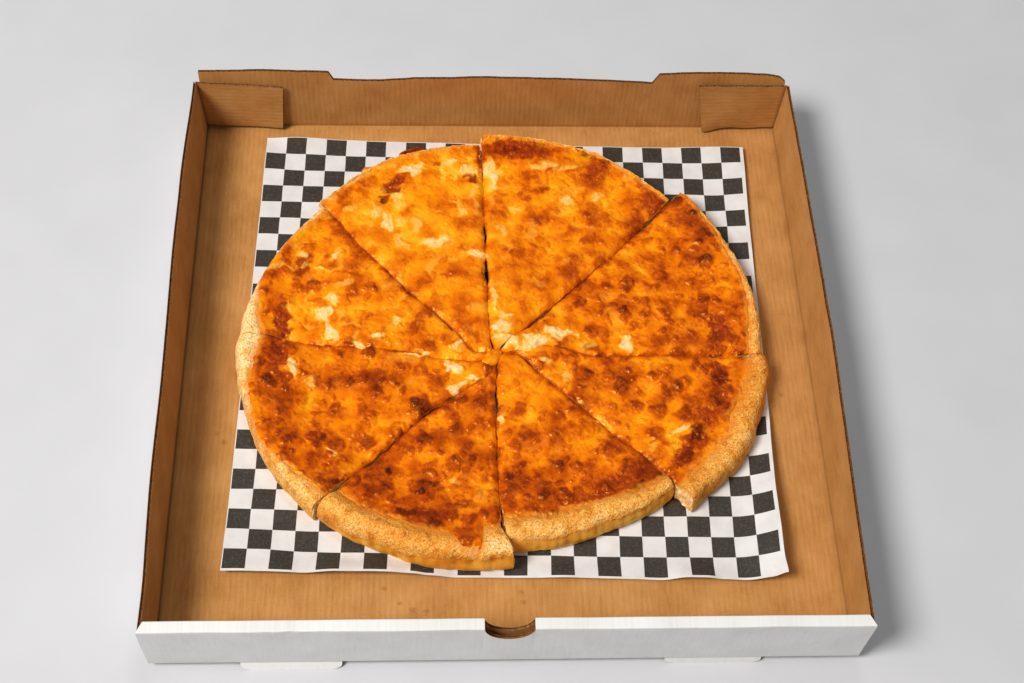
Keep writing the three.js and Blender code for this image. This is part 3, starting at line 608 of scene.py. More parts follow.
def crust_point(number, piece, s, q):
    """Radius and height on the bare crust, with its dents and grain, and how grainy it is there."""
    out, up, way = section(q)
    edge, rim, crest = edge_of(piece, s), thirds(piece["rim"], s), thirds(piece["crest"], s)
    radius, height = edge + out * rim, crest * up + foot_of_rim(piece, s, out)
    x, y, _ = place(piece, s, radius)
    normal = np.stack([-way[..., 1] * crest, way[..., 0] * rim], -1)
    normal /= np.maximum(np.linalg.norm(normal, axis=-1, keepdims=True), 1e-9)
    around = np.arctan2(y - PIVOT[1], x - PIVOT[0]) * RIM_RADIUS
    run = q * SECTION_LENGTH
    foot = from_fold(piece, s, q) + 0.025 * noise(around, run, 26, 31) + 0.014 * noise(around, run, 5, 30)
    grain = smooth(0.0, 0.12, q) * smooth(0.52, 0.48, foot)
    dents = 0.45 * noise(around, run, 19, 32) + 0.2 * noise(around, run, 8, 33)
    pits = -0.3 * smooth(0.35, 0.15, cells(around, run, 9, 34)[0]) * grain
    fine = (0.05 + 0.17 * grain) * noise(around, run, 1.9, 35)
    ledge = 0.3 * smooth(0.515, 0.485, foot) * smooth(0.25, 0.42, q)
    ledge -= 0.12 * np.exp(-(((foot - 0.53) / 0.02) ** 2))
    bare = smooth(-1, 3, radius - cheese_border(number, piece, s))
    push = (dents + pits + fine + ledge) * bare * smooth(1, 0.86, q) * smooth(-2, 9, rim)
    radius = radius + normal[..., 0] * push
    height = np.maximum(height + normal[..., 1] * push, 0)
    return radius, BOARD + np.maximum(height, FOOT - BOARD), grain


def crust_surface(piece, s, radius):
    """Height of the crust's upper side at a radius, for what runs over it."""
    out, up, _ = section(np.linspace(0, 5 / (len(SECTION) - 1), 60))
    p = np.clip((radius - edge_of(piece, s)) / thirds(piece["rim"], s), 0, 1)
    return BOARD + thirds(piece["crest"], s) * np.interp(p, out, up) + foot_of_rim(piece, s, p)


def recess(piece, radius, side, seed, rough):
    """How far one side of a slice stands back from its place: where the cut gapes, and at random."""
    cut = piece["cuts"][side]
    gape = through(CUTS[cut]["gape"], radius) / 2
    number = ord(cut) * 10 + side + seed
    chance = 0.7 * wander(radius, 13, number) + 0.5 * wander(radius, 5, number + 3)
    return gape + rough * chance - piece.get("flare", (0, 0))[side] * smooth(112, 132, radius)


def spread_rows(counts):
    """For points that come row by row: s from 0 to 1 along each row, and each point's row."""
    s = np.concatenate([np.linspace(0, 1, count) for count in counts])
    return s, np.repeat(np.arange(len(counts)), counts)


def add_rows(shell, points, counts, **marks):
    """Adds such points and the faces between their rows. Gives all their numbers, and the same row by row."""
    numbers = shell.add(points, **marks)
    rows = np.split(numbers, np.cumsum(counts)[:-1])
    for a, b in zip(rows, rows[1:]):
        shell.strip(a, b)
    return numbers, rows


def row_ends(counts):
    """Each row's first point, and each row's last one."""
    starts = np.cumsum(counts) - counts
    return starts, starts + counts - 1


def across_cut(piece, s, radius, side):
    """The way out of a slice's side, in plan."""
    x0, y0, _ = place(piece, s, radius - 0.5)
    x1, y1, _ = place(piece, s, radius + 0.5)
    way = np.stack([x1 - x0, y1 - y0], -1)
    way /= np.linalg.norm(way, axis=-1, keepdims=True)
    out = np.stack([way[:, 1], -way[:, 0]], -1)
    return out if side == 0 else -out


def cut_face(shell, side, top, rings):
    """A cut's face, from its top points' numbers down over rings of (points, marks). Gives its lowest."""
    numbers = np.stack([top] + [shell.add(points, **marks) for points, marks in rings], 1)
    shell.sheet(numbers, flip=side == 1)
    return numbers[:, -1]


# ---- Cheese ----
TOP_STEP = 0.62                 # between the points of the topping


def lump(shell, x, y, z, long, wide, high, turn, tone):
    """A lump of melted cheese, flat underneath."""
    around = np.linspace(0, 2 * np.pi, 49)[:-1]
    rise = np.linspace(-0.5, 1, 12) * np.pi / 2
    a, h = np.meshgrid(around, rise)
    bumpy = np.cos(h) * (1 + 0.22 * noise(3 * np.cos(a) + x, 3 * np.sin(a) + y, 2.2, 210))
    u, v = turned(long * np.cos(a) * bumpy, wide * np.sin(a) * bumpy, -turn)
    x, y = x + u, y + v
    z = z + high * np.sin(h) + 0.13 * high * noise(x, y, 3.5, 211) * smooth(0, 1, h)
    pale = smooth(0.6, 0.3, tone) * smooth(0.1, 0.7, noise(x, y, 5, 213))
    points = np.stack([x, y, z], -1)
    mottled = tone + 0.2 * noise(x, y, 4, 212)
    # Oily all over: painted glints and a stronger bump at 0.7.
    grid = shell.add(points[1:-1], tone=mottled[1:-1], cream=pale[1:-1], wet=0.7)
    shell.sheet(np.concatenate([grid, grid[:, :1]], 1).T)
    for ring, pole, flip in ((grid[0], points[0], True), (grid[-1], points[-1], False)):
        tip = shell.add(pole.mean(0)[None], tone=tone, wet=0.7)
        ends = np.stack([ring, np.roll(ring, -1), np.full(len(ring), tip[0])], 1)
        shell.face(ends[:, ::-1] if flip else ends)


def cheese_border(number, piece, s):
    """Radius at which the cheese ends, ragged, on the crust, with its runs."""
    rim, edge = thirds(piece["rim"], s), edge_of(piece, s)
    arc = number * 500 + s * SLICE_ARC
    lobes = 0.6 * wander(arc, 17, 120) + 0.45 * wander(arc, 6, 121) + 0.25 * wander(arc, 2.6, 122)
    cover = thirds(piece["cover"], s) + mix(0.4, 0.19, smooth(3, 11, rim)) * lobes
    border = edge + rim * np.clip(cover, 0.04, 0.97)
    for who, at, half, reach in DRIPS:
        if who == number:
            border = np.maximum(border, edge + reach * smooth(1.25, 0.3, np.abs(s - at) * CHEESE_ARC / half))
    return border


def topping(piece, s, radius, x, y, width, border):
    """Relief of the cheese over its smooth plane, and its colour marks."""
    to_edge = edge_of(piece, s) - radius
    to_side = np.minimum(s, 1 - s) * width
    wx = x + 2.2 * noise(x, y, 8, 60) + 0.7 * noise(x, y, 3, 58)
    wy = y + 2.2 * noise(x, y, 8, 61) + 0.7 * noise(x, y, 3, 59)
    broad, cloud, fine = fractal(x, y, 34, 1, 2), fractal(wx, wy, 13, 5, 2), fractal(x, y, 3.2, 9, 2)
    brown = patches(x, y, BROWN, 0.4, 70)
    sauce = patches(x, y, SAUCE, 0.35, 90)
    burnt = patches(x, y, BURNT, 0.4, 110)
    # Browned blisters of three sizes. The larger ones have flat, slightly sunk tops.
    big, big_kind = domes(wx, wy, 13, 68, 0.42)
    mid, mid_kind = domes(wx, wy, 7, 71, 0.55)
    small, small_kind = domes(x + 0.4 * fine, y, 3.4, 74, 0.5)
    flat_big, flat_mid, sunk = smooth(0, 0.7, big), smooth(0, 0.8, mid), smooth(0.6, 1, big)
    ring = np.exp(-(((small - 0.35) / 0.15) ** 2)) * (small_kind > 0.75)
    # Milky cheese: the marked patches, and what shows between the blisters where the slice has much of it.
    between = smooth(0.6, 0.0, np.maximum(big, mid))
    vein = between * smooth(0.15, 0.8, noise(wx, wy, 9, 20) + 0.5 * noise(x, y, 26, 21))
    cream = patches(wx, wy, CREAM, 0.35, 50) * (1 + 0.2 * fine)
    cream = np.maximum(cream, 0.75 * outwards(piece["milky"], radius) * vein) * (1 - 0.6 * sauce)
    around = [(cx, cy, 1.5 * long + 3, 1.5 * wide + 3, turn, 1) for cx, cy, long, wide, turn, _ in CREAM]
    halo = patches(x, y, around, 0.5, 52)
    # How brown the cheese is.
    scorch = thirds(piece["scorch"], s) * smooth(30, 3, to_edge)
    skin = outwards(piece["blister"], radius)
    tone = outwards(piece["tone"], radius) - 0.02 + 0.23 * cloud + 0.13 * broad
    tone += 0.24 * brown + 0.16 * scorch - 0.08 * halo - 0.12 * cream
    tone += skin * (0.17 * flat_big * (0.5 + big_kind) + 0.13 * flat_mid * (0.4 + mid_kind) - 0.06 * sunk)
    tone += skin * (0.08 * small - 0.07 * ring + 0.05 * fine)
    # Darker along the cuts.
    tone += 0.22 * np.exp(-to_side / 1.1) * (0.6 + 0.6 * noise(x, y, 7, 77))
    tone -= 0.12 * smooth(1, 6, -to_edge)
    # How high it stands.
    bare = np.clip(1 - sauce, 0, 1)
    relief = 0.6 * broad + 0.45 * cloud + skin * (0.5 * big + 0.4 * flat_big - 0.3 * sunk)
    relief += skin * (0.4 * mid + 0.35 * flat_mid)
    relief += bare * (0.3 * small + 0.15 * ring) + 0.1 * fine + 0.4 * cream * (1 + fine) - 0.7 * sauce
    relief += sauce * 0.4 * fine - 0.5 * np.exp(-to_side / 5) - 1.3 * np.exp(-((to_side / 1.5) ** 1.5))
    relief *= smooth(0, 5, border - radius + 1.2)
    # Where it thins out on the crust, and where it is oily: there it gets painted glints and a stronger bump.
    film = smooth(5, 0, border - radius + 1.6 * noise(x, y, 5, 64)) * smooth(0.9, 0.3, sauce + burnt)
    film = film * smooth(5, 2, -to_edge)
    wet = 0.3 + 0.5 * flat_mid + 0.4 * flat_big + 0.4 * small + 0.4 * sauce
    marks = {"tone": tone, "cream": cream, "sauce": sauce, "burnt": burnt, "film": film, "wet": wet}
    return relief, {name: np.clip(value, 0, 1.2) for name, value in marks.items()}


def cheese(number, piece):
    """One slice's topping: a fine top with a ragged edge, walls along its cuts, and a plain underside."""
    shell = Shell()
    for who, *form in LUMPS:
        if who == number:
            lump(shell, *form)
    # The rows are arcs up to bend, and from there they turn into the ragged border.
    edges = edge_of(piece, np.linspace(0, 1, 301))
    bend, full = edges.min() - SHORE, edges.max() + 2
    radii = np.linspace(TIP, full, int((full - TIP) / TOP_STEP))
    counts = np.maximum(np.round(place(piece, 1.0, radii)[2] * radii / TOP_STEP).astype(int), 3) + 1
    s, row = spread_rows(counts)
    arc = radii[row]
    border = cheese_border(number, piece, s)
    radius = np.where(arc < bend, arc, mix(bend, border, (arc - bend) / (full - bend)))
    x, y, angle = place(piece, s, radius, [-recess(piece, radius, side, 300, 1.0) for side in (0, 1)])
    top, thick = cheese_plane(piece, s, radius, x, y)
    # Past the edge it lies on the crust, and thins towards its border.
    edge = edge_of(piece, s)
    past = radius > edge
    over = np.clip((radius - edge) / (border - edge), 0, 1)
    crust = crust_surface(piece, s, radius)
    lying = CHEESE_EDGE + LAYER_GAP - 0.1
    top = np.where(past, crust + lying * (1 - over**1.5) - 0.3 * over**3, top)
    relief, marks = topping(piece, s, radius, x, y, angle * radius, border)
    points = np.stack([x, y, top + relief], -1)
    numbers, rows = add_rows(shell, points, counts, depth=0.0, **marks)
    # The walls along the cuts, which bulge a little.
    low = np.where(past, crust - 0.7, top - thick - LAYER_GAP - 0.05)
    under = np.minimum(low, points[:, 2] - 0.25)
    walls = []
    for side, ends in enumerate(row_ends(counts)):
        outward = across_cut(piece, s[ends], radius[ends], side)
        tint = {name: value[ends] for name, value in marks.items()}
        rings = []
        for level in np.linspace(0, 1, 6)[1:]:
            rough = noise(radius[ends], 8 * level + 0 * radius[ends], 2.6, 130 + side)
            bulge = 0.5 * math.sin(math.pi * min(level, 0.8)) + 0.3 * rough
            bulge = bulge * smooth(0, 6, border[ends] - radius[ends])
            plan = points[ends, :2] + outward * bulge[:, None]
            height = mix(points[ends, 2], under[ends], level)
            rings.append((np.column_stack([plan, height]), {"depth": level, **tint}))
        walls.append(cut_face(shell, side, numbers[ends], rings))
    # The underside, with fewer points.
    below = []
    for k, (first, last) in enumerate(zip(*row_ends(counts))):
        inner = np.linspace(0, 1, max(counts[k] // 9, 1) + 1)[1:-1]
        ids = np.round(mix(first, last, inner)).astype(int)
        tint = {name: value[ids] for name, value in marks.items()}
        middle = shell.add(np.column_stack([x[ids], y[ids], under[ids]]), depth=1.0, **tint)
        below.append(np.concatenate([walls[0][k:k + 1], middle, walls[1][k:k + 1]]))
    for a, b in zip(below, below[1:]):
        shell.strip(a, b, flip=True)
    shell.strip(below[0], rows[0])
    shell.strip(below[-1], rows[-1], flip=True)
    return shell


# ---- Dough ----
RIM_STEP = 0.72                 # between the points along the rim
RIM_ROWS = 66                   # rows over the crust's section
INNER_ROWS = 64                 # rows under the cheese, which needs few points
INNER_COUNT = 7


def dough(number, piece):
    """One slice's dough: plain under the cheese, a full rim, and two cut faces of torn crumb."""
    shell = Shell()
    ends_s = np.array([0.0, 1.0])
    reach = max(piece["reach"])
    inner = np.linspace(TIP + 0.6, edge_of(piece, np.linspace(0, 1, 301)).min() - 3, INNER_ROWS)
    columns = int(place(piece, 1.0, np.array([reach]))[2][0] * reach / RIM_STEP)
    counts = np.repeat([INNER_COUNT, columns], [INNER_ROWS, RIM_ROWS])
    s, row = spread_rows(counts)
    on_rim = row >= INNER_ROWS
    q = np.linspace(0, 1, RIM_ROWS)[np.where(on_rim, row - INNER_ROWS, 0)]
    radius, height, grain = crust_point(number, piece, s, q)
    radius = np.where(on_rim, radius, inner[np.where(on_rim, 0, row)])
    back = [recess(piece, radius, side, 300, 0.7) + 0.25 for side in (0, 1)]
    x, y, angle = place(piece, s, radius, [-one for one in back])
    top, thick = cheese_plane(piece, s, radius, x, y)
    height = np.where(on_rim, height, top - thick - LAYER_GAP)
    # The cut has rounded the rim's corners.
    to_side = np.minimum(s, 1 - s) * angle * radius
    worn = on_rim * 0.7 * np.exp(-((to_side / 1.0) ** 1.4)) * smooth(0.72, 0.5, q)
    height = np.maximum(height - worn, FOOT)
    past = radius - cheese_border(number, piece, s) + 1.5 * noise(x, y, 6, 158)
    marks = {
        "inside": np.where(on_rim, 0.0, 0.6),
        "grain": grain * on_rim,
        "toast": toast(number, piece, s, q),
        "lower": smooth(0.15, 0, grain) * (q > 0.4) * on_rim,
        "stain": smooth(0.5 + 0.28 * thirds(piece["rim"], s), -0.5, past) * on_rim,
    }
    points = np.stack([x, y, height], -1)
    numbers, rows = add_rows(shell, points, counts, **marks)
    # The cut faces, from the top down to the foot.
    reach_foot = edge_of(piece, ends_s) + SECTION[-1][0] * thirds(piece["rim"], ends_s)
    walls = []
    for side, ends in enumerate(row_ends(counts)):
        foot_radius = np.minimum(radius[ends], reach_foot[side])
        foot_x, foot_y, _ = place(piece, s[ends], foot_radius, [-one[ends] for one in back])
        foot = np.column_stack([foot_x, foot_y, np.full(len(ends), FOOT)])
        outward = across_cut(piece, s[ends], radius[ends], side)
        rings = []
        for level in np.linspace(0, 1, 11)[1:]:
            at = mix(points[ends], foot, level)
            down = 12 * level + 0 * radius[ends]
            crumb = 0.5 * noise(radius[ends], down, 4.5, 140 + side)
            crumb += 0.35 * noise(radius[ends], down, 1.7, 142 + side) + 0.25 * math.sin(math.pi * level)
            crumb *= 1 + on_rim[ends]
            tall = smooth(0.2, 3, points[ends, 2] - FOOT) * (level < 1)
            at[:, :2] += outward * (crumb * tall)[:, None]
            rings.append((at, {"inside": 1.0, "toast": 0.25 + 0.2 * crumb}))
        walls.append(cut_face(shell, side, numbers[ends], rings))
    # The underside is flat, so that it needs no points between the cut faces.
    feet = np.stack(walls, 1)
    for one, other in zip(feet, feet[1:]):
        shell.strip(one, other, flip=True)
    shell.strip(feet[-1], rows[-1], flip=True)
    shell.strip(feet[0], rows[0])
    return shell


# How brown the crust is from the cheese over the crest, the fold at 0.5 and the side down to the foot.
BROWNING = [
    (0, 0.42), (0.2, 0.32), (0.4, 0.24), (0.49, 0.3), (0.53, 0.5), (0.62, 0.34), (0.8, 0.22), (1, 0.35),
]


def toast(number, piece, s, q):
    """How browned the bare crust is: pale and grainy on the crest, golden on the side, patchy all over."""
    around, run = number * 400 + s * SLICE_ARC, q * SECTION_LENGTH
    patchy = 0.5 * fractal(around, run, 24, 150) + 0.3 * fractal(around, run, 7, 153)
    foot = from_fold(piece, s, q)
    shape = through(BROWNING, foot)
    spots = smooth(0.26, 0.1, cells(around, run, 12, 156)[0]) * 0.2
    smudge = 0.14 * noise(around, 0.25 * run, 2.6, 157) * (foot > 0.5)
    return np.clip(shape + 0.24 * patchy + spots + smudge + thirds(piece["bake"], s), 0, 1)


# ---- Paper ----
PAPER_CELLS = 130               # cells along the printed side
FREE_FROM, FREE_AT = 146, 158   # the pizza presses the paper flat inside these radii
CURL_PULL = 0.36                # a curl pulls its edge in by this part of its lift


def paper():
    """The sheet with the waves and curls of its free edges. u and v are its places laid out flat."""
    shell = Shell()
    printed = np.linspace(-0.5, 0.5, PAPER_CELLS + 1) * PAPER_SIDE
    across = np.append(printed, PAPER_SIDE / 2 + MARGIN_RIGHT)
    along = np.append(-PAPER_SIDE / 2 - MARGIN_FRONT, printed)
    u, v = np.meshgrid(across, along, indexing="ij")
    out = smooth(PAPER_FLAT, PAPER_REACH, np.hypot(u, v))
    lift = through(PAPER_LIFT, np.degrees(np.arctan2(v, u))) * mix(out, out**2, PAPER_BOW)
    near_front = smooth(FRONT_CURL_WIDTH, 0, v - along[0])
    lift = lift + through(FRONT_CURL, u) * mix(near_front, near_front**2, 0.5)
    near_right = np.clip(1 - (across[-1] - u) / RIGHT_CURL_WIDTH, 0, 1)
    right = through(RIGHT_CURL, v) * near_right**1.7
    lift = lift + right
    free = smooth(FREE_FROM, FREE_AT, np.hypot(u, v))
    lift = lift + free * (0.35 + 0.35 * noise(u, v, 30, 160) + 0.2 * noise(u, v, 13, 161))
    x, y = turned(u - CURL_PULL * right, v, -PAPER_TURN)
    x, y = PAPER_CENTRE[0] + x, PAPER_CENTRE[1] + y
    z = BOARD + PAPER_GAP + np.maximum(lift, 0)
    slab(shell, np.stack([x, y, z + PAPER_THICK], -1), np.stack([x, y, z], -1), across=u, along=v)
    return shell


# ---- Tray ----
KRAFT, WHITE, CUT = 0, 1, 2


def rounded(corners, radii, spans, arc=5):
    """Points along straight runs joined by arcs. spans says how many steps each run has."""
    corners = np.array(corners, float)
    start, parts = corners[0], []
    for before, corner, after, radius, span in zip(corners, corners[1:], corners[2:], radii, spans):
        to_a = (before - corner) / np.linalg.norm(before - corner)
        to_b = (after - corner) / np.linalg.norm(after - corner)
        back = radius / math.tan(math.acos(to_a @ to_b) / 2)
        p, q = corner + to_a * back, corner + to_b * back
        parts.append(mix(start, p, np.linspace(0, 1, span, endpoint=False)[:, None]))
        t = np.linspace(0, 1, arc, endpoint=False)[:, None]
        parts.append((1 - t) ** 2 * p + 2 * t * (1 - t) * corner + t**2 * q)
        start = q
    parts.append(mix(start, corners[-1], np.linspace(0, 1, spans[-1] + 1)[:, None]))
    return np.concatenate(parts)


WAVE = 0.33                     # the medium swings by this part of the board's thickness


def medium(shell, one, other, inward):
    """The corrugated sheet seen between the liners in a cut edge, as a wavy ribbon."""
    middle = (one + other) / 2
    length = np.concatenate([[0], np.cumsum(np.linalg.norm(np.diff(middle, axis=0), axis=1))])
    at = np.linspace(0, length[-1], max(int(length[-1] / FLUTE * 11), 4))
    a, b, deep = (
        np.stack([np.interp(at, length, line[:, k]) for k in range(3)], -1) for line in (one, other, inward)
    )
    wave = (0.5 + WAVE * np.sin(2 * np.pi * at / FLUTE))[:, None]
    faces = []
    for offset in (-0.05, 0.05):
        line = mix(a, b, wave + offset)
        faces.append(np.stack([line + deep * 0.12, line + deep * GROOVE], 1))
    slab(shell, faces[0], faces[1], (CUT, CUT, CUT))


WALL_STEPS, BOTTOM_STEPS = 16, 92    # points up a side wall and across the bottom


def trough():
    """The bottom and the two side walls, bent from one sheet. Its flutes run to the back."""
    shell = Shell()
    spans = [WALL_STEPS, BOTTOM_STEPS, WALL_STEPS]
    inner, outer = (
        rounded([(-half, WALL_TOP), (-half, low), (half, low), (half, WALL_TOP)], [bend, bend], spans)
        for half, low, bend in ((HALF_WIDTH, BOARD, 1.2), (HALF_WIDTH + BOARD, 0, 2.6))
    )
    steps = np.concatenate([[0, 0.004], np.linspace(0.01, 0.99, 91), [0.996, 1]])
    across = np.concatenate([[0], np.cumsum(np.linalg.norm(np.diff(inner, axis=0), axis=1))])
    faces = []
    for path in (inner, outer):
        x, z = (np.repeat(path[:, k:k + 1], len(steps), 1) for k in (0, 1))
        up = np.clip(z / WALL_TOP, 0, 1)
        front = FRONT + BOARD / 2 - FRONT_LEAN * z / FRONT_TOP
        back = mix(BACK + 0.3, WALL_END, smooth(0, 3, z))
        y = mix(front, back, steps[None, :])
        lean = np.where(x < 0, -through(LEFT_LEAN, y), through(RIGHT_LEAN, y)) * up
        bow = 0.5 * noise(y + 900 * np.sign(x), z, 60, 170) * smooth(0, 30, z)
        top_wave = 0.5 * noise(y, 500 * np.sign(x), 26, 171) * smooth(20, WALL_TOP, z)
        sag = 0.35 * noise(x, y, 90, 172) * smooth(184, 150, np.abs(x)) * (z < 3)
        faces.append(np.stack([x + lean + bow * up, y, z + top_wave - np.maximum(sag, 0)], -1))
    # Painted shade in the creases at the two folds, and in a faint one beside the right one.
    corners = [np.hypot(inner[:, 0] - x, inner[:, 1] - BOARD) for x in (-HALF_WIDTH, HALF_WIDTH)]
    left, right = (across[np.argmin(away)] for away in corners)
    crease_shades = ((left, 0.75, 1.1), (right, 0.45, 1.1), (right - 7, 0.2, 1.6))
    crease = sum(dark * np.exp(-(((across - at) / wide) ** 2)) for at, dark, wide in crease_shades)
    across, crease = (np.repeat(one[:, None], len(steps), 1) for one in (across, crease))
    along = faces[0][..., 1]
    slab(shell, *faces, (KRAFT, WHITE, CUT), (GROOVE,) * 4, across=across, along=along, crease=crease)
    for wall in (slice(None, WALL_STEPS + 1), slice(-WALL_STEPS - 1, None)):
        ends = [face[wall, -1] for face in faces]
        medium(shell, *ends, np.zeros_like(ends[0]) - [0, 1, 0])
    return shell


SHOULDERS = [-104, -102.5, -101, 100, 102, 104]      # x of the back wall's points where its top edge drops
BACK_START = 180                # y where the back wall's sheet leaves the bottom
PLAIN_TOP = 40                  # it is bent with this height, and stretched to its top edge
STRETCH_FROM = 4                # above this height


def back_wall(shell):
    """The back wall, folded up from the bottom. Its flutes stand upright."""
    stops = np.concatenate([np.linspace(BACK_TOP[0][0], BACK_TOP[-1][0], 186), SHOULDERS])
    x = np.unique(np.round(stops, 2))
    top = through_straight(BACK_TOP, x)
    top = top + 0.35 * wander(x, 19, 180) + 0.2 * wander(x, 6, 181)
    faces = []
    for face, low, bend in ((BACK, BOARD - 0.06, 1.1), (BACK + BOARD, 0.02, 2.5)):
        path = rounded([(BACK_START, low), (face, low), (face, PLAIN_TOP)], [bend], [2, 20], 7)
        y, z = np.repeat(path[None, :, 0], len(x), 0), np.repeat(path[None, :, 1], len(x), 0)
        taller = ((top - STRETCH_FROM) / (PLAIN_TOP - STRETCH_FROM))[:, None]
        z = np.where(z > STRETCH_FROM, STRETCH_FROM + (z - STRETCH_FROM) * taller, z)
        bow = 0.5 * noise(x[:, None] + 0 * z, z, 70, 182) * smooth(2, 30, z)
        lean = 0.3 * smooth(4, 40, z)
        faces.append(np.stack([np.repeat(x[:, None], z.shape[1], 1), y + bow - lean, z], -1))
    height = faces[0][..., 2]
    # Painted shade along the foot, where the wall meets the bottom.
    crease = 0.35 * smooth(4, 2.4, height) * (height > BOARD + 0.05)
    slab(shell, *faces, (KRAFT, WHITE, CUT), (0.3, GROOVE, 0.3, 0),
         across=faces[0][..., 0], along=height, crease=crease)
    medium(shell, faces[0][:, -1], faces[1][:, -1], np.zeros((len(x), 3)) - [0, 0, 1])


FLAP_BEND = 183.0               # y where a flap is bent off its side wall


def corner_flap(shell, flap):
    """A side wall's end, folded in ahead of the back wall. Its flutes lie level."""
    side = flap["side"]
    lean = LEFT_LEAN if side < 0 else RIGHT_LEAN
    u, v = np.meshgrid(np.linspace(0, 1, 34), np.linspace(0, 1, 30), indexing="ij")
    ripple = 0.9 * np.sin(u * 11 + 1) * smooth(0.1, 0.5, u)     # of the right flap's lower edge
    low = BOARD + FLAP_LIFT + (ripple if side > 0 else 0)
    high = mix(WALL_TOP - 0.3, flap["high"], u) + 0.35 * wander(u * 50, 14, 190 + side)
    z = mix(low, high, v)
    root = HALF_WIDTH + 0.6 + through(lean, np.array([FLAP_BEND]))[0] * z / WALL_TOP
    free = HALF_WIDTH - mix(flap["foot"], flap["top"], v)
    x = mix(root, free, u)
    curl = smooth(0.72, 1, u) * smooth(0.35, 0, v) * (2.2 if side > 0 else 0.6)
    y = FLAP_FOOT - flap["stand_off"] * u - curl + 0.4 * noise(u * 50, v * 40, 24, 192 + side)
    front = np.stack([side * x, y, z], -1)
    back = front + [0, BOARD - 0.1, 0]
    # Painted shade along the fold at the root and along the lower edge.
    crease = 0.7 * smooth(0.06, 0, u) + 0.4 * smooth(0.05, 0, v)
    # The right flap's rows run the other way, so that its faces look forwards too.
    grooves, tip = (0, 0.6, GROOVE, 0.4), -1
    if side > 0:
        front, back, z, crease = (one[::-1] for one in (front, back, z, crease))
        grooves, tip = (GROOVE, 0.6, 0, 0.4), 0
    slab(shell, front, back, (KRAFT, WHITE, CUT), grooves, across=z, along=x, crease=crease)
    medium(shell, front[tip], back[tip], np.repeat([[side * 1.0, 0, 0]], len(front[tip]), 0))


# Points along the roll's stretches and bends.
FOOT_STEPS, PANEL_STEPS, TOP_STEPS, BEND_STEPS = 2, 22, 4, 6


def roll_relief(x, y, z):
    """The front wall's points, with its mitred ends, dents, and a crumpled stretch of its flat top."""
    outer_top = FRONT - FRONT_LEAN
    pull = MITRE * smooth(FRONT_TOP - 3, FRONT_TOP - 0.5, z) * (y - outer_top) / ROLL_WIDTH
    x = x - np.sign(x) * pull * smooth(FRONT_HALF - MITRE_LENGTH, FRONT_HALF, np.abs(x))
    dent = 0.35 * noise(x, z, 40, 200) * smooth(3, 30, z)
    crumple = 0.35 * noise(x, 4 * z, 6, 201) * np.exp(-(((x + 110) / 16) ** 2)) * smooth(38, 44, z)
    on_outer = y < outer_top + ROLL_WIDTH / 2
    wave = 0.3 * wander(x, 30, 203) * smooth(40, 44, z)
    return np.stack([x, y + (dent + crumple) * on_outer, z + wave], -1)


def front_roll(shell):
    """The front wall, rolled over into two panels with a flat top and a thumb notch."""
    outer_top = FRONT - FRONT_LEAN
    inner_top = outer_top + ROLL_WIDTH
    foot = inner_top + INNER_LEAN
    spans = [FOOT_STEPS, PANEL_STEPS, TOP_STEPS, PANEL_STEPS]
    bottom, under_top = BOARD - 0.06, FRONT_TOP - BOARD
    outside = rounded([
        (ROLL_START, 0.02), (FRONT, 0.02), (outer_top, FRONT_TOP), (inner_top, FRONT_TOP), (foot, BOARD / 2),
    ], [1.7, 0.9, 0.9], spans, BEND_STEPS)
    inside = rounded([
        (ROLL_START, bottom), (FRONT + BOARD, bottom), (outer_top + BOARD, under_top),
        (inner_top - BOARD, under_top), (foot - BOARD, BOARD / 2),
    ], [0.3, 0.25, 0.25], spans, BEND_STEPS)
    up = FOOT_STEPS + BEND_STEPS + PANEL_STEPS
    over = BEND_STEPS + TOP_STEPS + BEND_STEPS
    whole, outer_panel, inner_panel = slice(None), slice(0, up + 1), slice(up + over - 1, None)
    notch = -NOTCH * np.cos(np.linspace(0.03, math.pi - 0.03, 33))
    rim = FRONT_TOP + 0.3 - np.sqrt(np.maximum(NOTCH**2 - notch**2, 0))[:, None]
    stretches = [
        (np.linspace(-FRONT_HALF, notch[0], 120), whole, (GROOVE, 0, GROOVE, 0)),
        (np.linspace(notch[-1], FRONT_HALF, 120), whole, (GROOVE, 0, GROOVE, 0)),
        (notch, outer_panel, (0, GROOVE, 0, 0)),
        (notch, inner_panel, (0, 0, 0, GROOVE)),
    ]
    for x, panel, grooves in stretches:
        faces = []
        for path in (outside, inside):
            y, z = (np.repeat(path[None, panel, k], len(x), 0) for k in (0, 1))
            if x is notch:
                z = np.where(z > 3, 3 + (z - 3) * (rim - 3) / (z.max() - 3), z)
            faces.append(roll_relief(np.repeat(x[:, None], y.shape[1], 1), y, z))
        slab(shell, *faces, (WHITE, KRAFT, CUT), grooves, across=faces[0][..., 0], along=faces[0][..., 2])


def lock_tab(shell, tab):
    """A tab that hangs below the front wall, pressed thin."""
    u, v = np.meshgrid(np.linspace(0, 1, 60), np.linspace(0, 1, 16), indexing="ij")
    z = mix(BOARD, -TAB_DROP, 1 - v)
    fall = np.maximum(0, -z) / TAB_DROP
    x = mix(tab["left"], tab["right"], u) + TAB_ROUND * fall**4 * (1 - 2 * u)
    y = FRONT + (BOARD - TAB_THICK) / 2 - tab["splay"] * fall
    front = np.stack([x, y, z], -1)
    slab(shell, front, front + [0, TAB_THICK, 0], (WHITE, KRAFT, CUT), (0.3, 0, 0.3, 0.3), across=x, along=z)


def tray():
    shell = trough()
    back_wall(shell)
    corner_flap(shell, LEFT_FLAP)
    corner_flap(shell, RIGHT_FLAP)
    front_roll(shell)
    for tab in TABS:
        lock_tab(shell, tab)
    return shell


